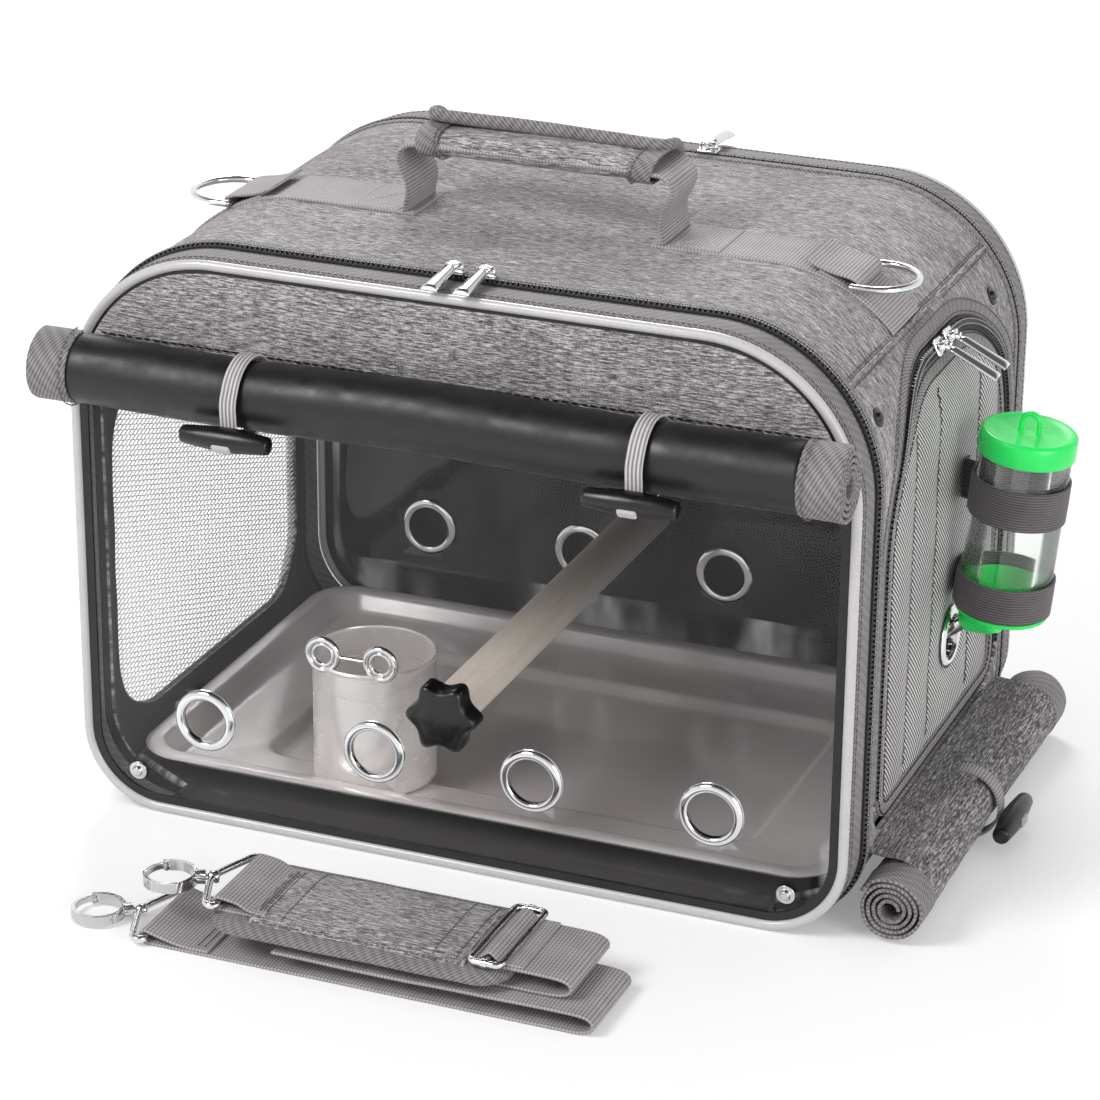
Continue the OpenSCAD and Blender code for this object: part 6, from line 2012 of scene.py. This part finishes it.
@dataclass
class SliderSet:
    """All five sliders, each on its own chain."""

    bench: Bench

    def build(self) -> None:
        """Makes the sliders of the front, side and back zips."""
        for x, side, key in ((-8, "left", "_l"), (8, "right", "_r")):
            Slider(self.bench, "front", side, key, Matrix.Translation((x, -114, 296.1)), 5).build()
        corner = Outline().top_r
        turn, reach = asin(36 / corner), corner + 2.1
        for y, side, key in ((-6, "front", "_f"), (10, "back", "_b")):
            stand = Matrix.Translation((122 + reach * cos(turn), y, 216 + reach * sin(turn)))
            stand = stand @ Matrix.Rotation(pi / 2 - turn, 4, "Y") @ spin(90, "Z")
            Slider(self.bench, "side", side, key, stand, -37).build()
        Slider(self.bench, "back", "middle", "", Matrix.Translation((34, 114, 296.1)) @ spin(180, "Z"), 5).build()


# ---- Shoulder strap ----


@dataclass
class Strap:
    """The shoulder strap, folded on the floor: webbing, pad with its sleeve, slide, rings and snap hooks."""

    bench: Bench
    low_y: float = -239.0
    top_y: float = -230.0
    width: float = 47.6
    ring_a: tuple[float, float] = (-101.0, 4.0)
    ring_b: tuple[float, float] = (-67.0, 24.1)
    reach: float = 14.0
    hook_turn: float = 22.0

    def run(self, points: Profile, y: float) -> Route:
        """Gives a webbing route through places along X and Z at a depth."""
        line = smooth_line([(x, y, z) for x, z in points], 1.5)
        for i, point in enumerate(line):
            point.z = max(0.95, point.z + 0.25 * wander((point.x, y, i / 8), 34, 6))
        return Route(line, Y)

    def make_webbing(self) -> None:
        """Makes the two folded lengths of webbing with their ring loops and sewn ends."""
        ax, az = self.ring_a
        bx, bz = self.ring_b
        loop_a = [(ax + 3.1 * sin(t), az + 3.1 * cos(t)) for t in angles(6, -pi, True)]
        lower = self.run([(ax + 32, 2.8), (ax + 20, 2.9), (ax + 10, 4.6), *loop_a, (ax + 12, 0.95), (-60, 0.95),
                          (0, 0.95), (60, 0.95), (104, 0.95), (116, 1.3), (121.4, 3.0), (122.6, 5.5), (121.2, 8.0),
                          (116, 9.7), (100, 10.0), (60, 9.6), (20, 9.2), (-36, 9.6)], self.low_y)
        loop_b = [(bx - 3.1 * sin(t), bz - 3.1 * cos(t)) for t in angles(6, pi, True)]
        upper = self.run([(-26, 12.0), (20, 12.0), (70, 12.0), (92, 12.0), (102, 12.4), (107.2, 14.2), (108.4, 16.6),
                          (107.2, 19.0), (101, 20.7), (80, 21.1), (52, 21.0), (0, 21.2), (-50, 21.0), (bx + 6, 21.0),
                          *loop_b, (bx + 9, 26.0), (bx + 16, 23.0), (bx + 24, 22.7)], self.top_y)
        for name, route in (("lower", lower), ("upper", upper)):
            piece = self.bench.store(route.band(self.width, 1.6), f"strap_webbing_{name}", "strap", "webbing",
                                     "webbing", "strap_webbing" if name == "lower" else "")
            route.length * MM
        rows = []
        for x, y, z in ((ax + 26, self.low_y, 3.75), (bx + 20, self.top_y, 23.65)):
            for shift in (0, 3.4):
                rows.append(stitches(straight((x + shift, y - 21, z), (x + shift, y + 21, z), 3, X), 2.6))
        self.bench.store(gather(*rows), "strap_end_stitches", "strap", "webbing", "seam_thread")

    def make_pad(self) -> None:
        """Makes the padded core, its twill border and the cloth sleeve that the webbing runs through."""
        half_x, half_y, y = 74.0, 33.6, self.top_y
        core = bmesh.new()
        loop = RoundedLoop(4 - half_x, 4 + half_x, y - half_y, y + half_y, 15, 15)
        base = [core.verts.new((p.x, p.z, 14.6)) for p in loop.points(-1.2, 4)]
        face = core.faces.new(base)
        top = bmesh.ops.extrude_face_region(core, geom=[face])["geom"]
        bmesh.ops.translate(core, vec=(0, 0, 4.6), verts=[g for g in top if isinstance(g, bmesh.types.BMVert)])
        bmesh.ops.recalc_face_normals(core, faces=core.faces)
        pad = swell(core, 4.0, 4.0, 2.0)
        piece = self.bench.store(pad, "shoulder_pad_core", "strap", "pad_cloth", "heather_place", "shoulder_pad")
        self.bench.rounded(piece)
        points = [Vector((p.x, p.z, 17.0 + 0.3 * wander((p.x, p.z, 0), 30, 2))) for p in loop.points(-0.5, 2)]
        edge = Route(points, Z, True)
        border = edge.sweep([(-3.6, -10.5), (-3.5, -5), (-3.2, -1.5), (-1.6, 1.0), (0, 1.5), (1.8, 1.0), (3.4, -1.5),
                             (3.8, -5), (3.8, -10.5), (3.0, -10.6), (0, -3), (-3.0, -10.6)])
        self.bench.store(border, "shoulder_pad_binding", "strap", "tape", "twill")
        self.bench.store(stitches(edge.shifted(3.9, -8.8), 3.2), "shoulder_pad_binding_stitches", "strap", "tape",
                         "seam_thread")
        x0, x1, wide = -49.0, 57.0, 29.5

        def place(u: float, v: float) -> Vector:
            a, b = 2 * u - 1, 2 * v - 1
            x = (x0 + x1) / 2 + (x1 - x0) / 2 * a
            rise = 23.9 - 3.2 * abs(b) ** 5 - 0.5 * abs(a) ** 8 + 0.35 * wander((x, 60 * b, 0), 22, 4)
            return Vector((x, y + wide * b, rise))

        sleeve = face_from(mapped(80, 46, place, lambda u, v: ((x1 - x0) * u, 2 * wide * v)), (0, y, 0))
        self.bench.walled(self.bench.store(sleeve, "shoulder_pad_sleeve", "strap", "pad_cloth", "heather"), 1.1)
        rows = []
        for x in (x0 + 3.5, x0 + 15, x1 - 15, x1 - 3.5):
            rows.append(stitches(Route([place((x - x0) / (x1 - x0), v / 16) + Vector((0, 0, 0.1))
                                        for v in range(1, 16)], X), 2.8))
        for v in (0.03, 0.97):
            rows.append(stitches(Route([place(u / 30, v) + Vector((0, 0, 0.1)) for u in range(31)], Y), 2.8))
        self.bench.store(gather(*rows), "shoulder_pad_stitches", "strap", "pad_cloth", "seam_thread")
        hems = [Route([place(u, v / 20) + Vector((0, 0, -0.5)) for v in range(21)], X).tube(1.3, 10)
                for u in (0.0, 1.0)]
        self.bench.store(gather(*hems), "shoulder_pad_hems", "strap", "pad_cloth", "heather")

    def make_slide(self) -> None:
        """Makes the wire slide and the webbing that humps over its middle bar."""
        x, y, z, half = 61.0, self.top_y, 24.1, 27.9
        corners = [(x, y - half, z), (x + 15, y - half, z), (x + 15, y + half, z), (x, y + half, z)]
        frame_line = Route(filleted(corners, 3.2), Z, True)
        bar = straight((x + 7.5, y - half, z), (x + 7.5, y + half, z), 8, X)
        sleeves = [straight((x + 6, y + side * half, z), (x + 9, y + side * half, z), 3, Z).tube(2.3, 14)
                   for side in (-1, 1)]
        self.bench.store(gather(frame_line.tube(1.8, 14), bar.tube(1.4, 12), *sleeves), "strap_slide_frame", "slide",
                         "chrome", "chrome", "strap_slide", sharp=60)
        hump = self.run([(x - 6, 22.6), (x - 1, 22.6), (x + 3, 23.6), (x + 7.5, 27.0), (x + 12, 23.9), (x + 16, 22.7),
                         (x + 24, 22.6)], y)
        self.bench.store(hump.band(self.width - 1.2, 1.4), "strap_slide_webbing", "slide", "webbing", "webbing")

    def make_ring(self, centre: tuple[float, float], y: float) -> Shape:
        """Makes a bent wire ring that narrows to its swivel, with the swivel's pin."""
        x, z = centre
        half, leg = self.width / 2 + 2.6, 5.6
        corners = [(x, y - half, z), (x, y + half, z), (x - leg, y + half, z), (x - self.reach, y + 4, z),
                   (x - self.reach, y - 4, z), (x - leg, y - half, z)]
        ring = Route(filleted(corners, 4.5), Z, True).tube(1.85, 16)
        stand = Matrix.Translation((x - self.reach, y, z)) @ spin(self.hook_turn, "Z") @ spin(-90, "Y")
        pin = turned([(0, -2.6), (2.2, -2.6), (3.0, -1.8), (3.0, 1.8), (2.2, 2.6), (1.5, 2.9), (1.4, 5.6), (2.3, 5.8),
                      (2.3, 6.8), (0, 6.8)], 24)
        return gather(ring, moved(pin, stand))

    def make_hooks(self) -> None:
        """Makes the rings and dresses the snap hooks and their gates."""
        rings = gather(self.make_ring(self.ring_a, self.low_y), self.make_ring(self.ring_b, self.top_y))
        self.bench.store(rings, "strap_ring_pair", "strap", "chrome", "chrome", "strap_rings", sharp=60)
        metal = ("satin_metal", "dull_metal")
        for key in ("a", "b"):
            self.bench.hardware(f"strap_hook_{key}", f"snap_hook_{key}", f"hook_{key}", *metal, 0.3)
            self.bench.hardware(f"hook_gate_{key}", f"snap_gate_{key}", f"gate_{key}", *metal, 0.2)

    def build(self) -> None:
        """Makes the whole strap."""
        for step in (self.make_webbing, self.make_pad, self.make_slide, self.make_hooks):
            step()


# ---- Stage ----


@dataclass
class Stage:
    """Floor, light and camera."""

    azimuth: float = 21.92
    elevation: float = 22.68
    roll: float = 0.47
    distance: float = 1.9438
    target: Sequence[float] = (-0.0052, 0.0, 0.1142)
    lens: float = 126.18

    def make_camera(self) -> None:
        """Sets the camera at the photograph's angle."""
        camera = bpy.data.cameras.new("view")
        camera.lens, camera.sensor_width = self.lens, 36.0
        camera.clip_start, camera.clip_end = 0.05, 40.0
        az, el = radians(self.azimuth), radians(self.elevation)
        away = Vector((sin(az) * cos(el), -cos(az) * cos(el), sin(el)))
        turn = (-away).to_track_quat("-Z", "Y").to_matrix().to_4x4() @ spin(self.roll, "Z")
        place = Matrix.Translation(Vector(self.target) + away * self.distance) @ turn
        bpy.context.scene.camera = stand_in_scene("view", camera, place)

    def make_floor(self) -> None:
        """Makes the pale floor, which shows white to the camera and keeps the object's shadow."""
        shape = bmesh.new()
        bmesh.ops.create_grid(shape, x_segments=1, y_segments=1, size=6.0)
        mesh = bpy.data.meshes.new("floor")
        shape.to_mesh(mesh)
        shape.free()
        n = Nodes("floor", Along.PLACE)
        path = n.add("LightPath").outputs
        seen = n.calc("MAXIMUM", path["Is Glossy Ray"], path["Is Transmission Ray"])
        seen = n.calc("MAXIMUM", path["Is Camera Ray"], seen)
        n.surface(Base_colour=(0.86, 0.86, 0.86, 1), Roughness=0.7, Specular_IOR_Level=0.2,
                  Emission_colour=(1, 1, 1, 1), Emission_Strength=n.times(seen, 0.24))
        mesh.materials.append(n.material)
        stand_in_scene("floor", mesh)

    def make_world(self) -> None:
        """Makes plain soft surroundings that are white to the camera and in reflections."""
        world = bpy.data.worlds.new("studio")
        world.use_nodes = True
        n = Graph(world.node_tree, "Background", "Generated")
        path = n.add("LightPath").outputs
        seen = n.calc("MAXIMUM", path["Is Camera Ray"], path["Is Transmission Ray"])
        seen = n.calc("MAXIMUM", seen, path["Is Glossy Ray"])
        height = n.add("SeparateXYZ", n.point).outputs["Z"]
        n.surface(Strength=n.range(seen, 0.5, n.range(height, 1.0, 0.12, 0.35, 0.8)), Colour=(1, 1, 1, 1))
        bpy.context.scene.world = world

    def make_lamp(self, name: str, place: Sequence[float], aim: Sequence[float], size: float, power: float) -> None:
        """Adds a soft lamp that faces a point."""
        lamp = bpy.data.lights.new(name, "AREA")
        lamp.shape, lamp.size, lamp.energy = "DISK", size, power
        turn = (Vector(aim) - Vector(place)).to_track_quat("-Z", "Y").to_matrix().to_4x4()
        stand_in_scene(name, lamp, Matrix.Translation(place) @ turn)

    def build(self) -> None:
        """Makes the stage apart from the camera."""
        self.make_floor()
        self.make_world()
        self.make_lamp("key", (-1.2, -1.6, 1.9), (0, 0, 0.12), 1.1, 34)
        self.make_lamp("fill", (1.9, -1.1, 0.75), (0, 0, 0.12), 1.2, 17)
        self.make_lamp("rim", (-0.7, 1.6, 1.6), (0, 0, 0.15), 1.0, 22)
        bpy.context.scene.view_settings.view_transform = "Standard"


def main() -> None:
    """Builds every sub-assembly in order."""
    logging.basicConfig(level=logging.INFO, format="%(name)s: %(message)s")
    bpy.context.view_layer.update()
    stage, bench, line = Stage(), Bench(), Outline()
    stage.make_camera()
    bag = Bag(bench, line)
    parts = (bag, FrontDoor(bench, line, "front", -1, "front_door"), BackDoor(bench, line, "back", 1, "back_door"),
             SideDoor(bench, bag), SideShade(bench), Tray(bench), FeedCup(bench), Handle(bench), SliderSet(bench),
             Strap(bench))
    for part in (*parts, stage):
        part.build()


if __name__ == "__main__":
    main()
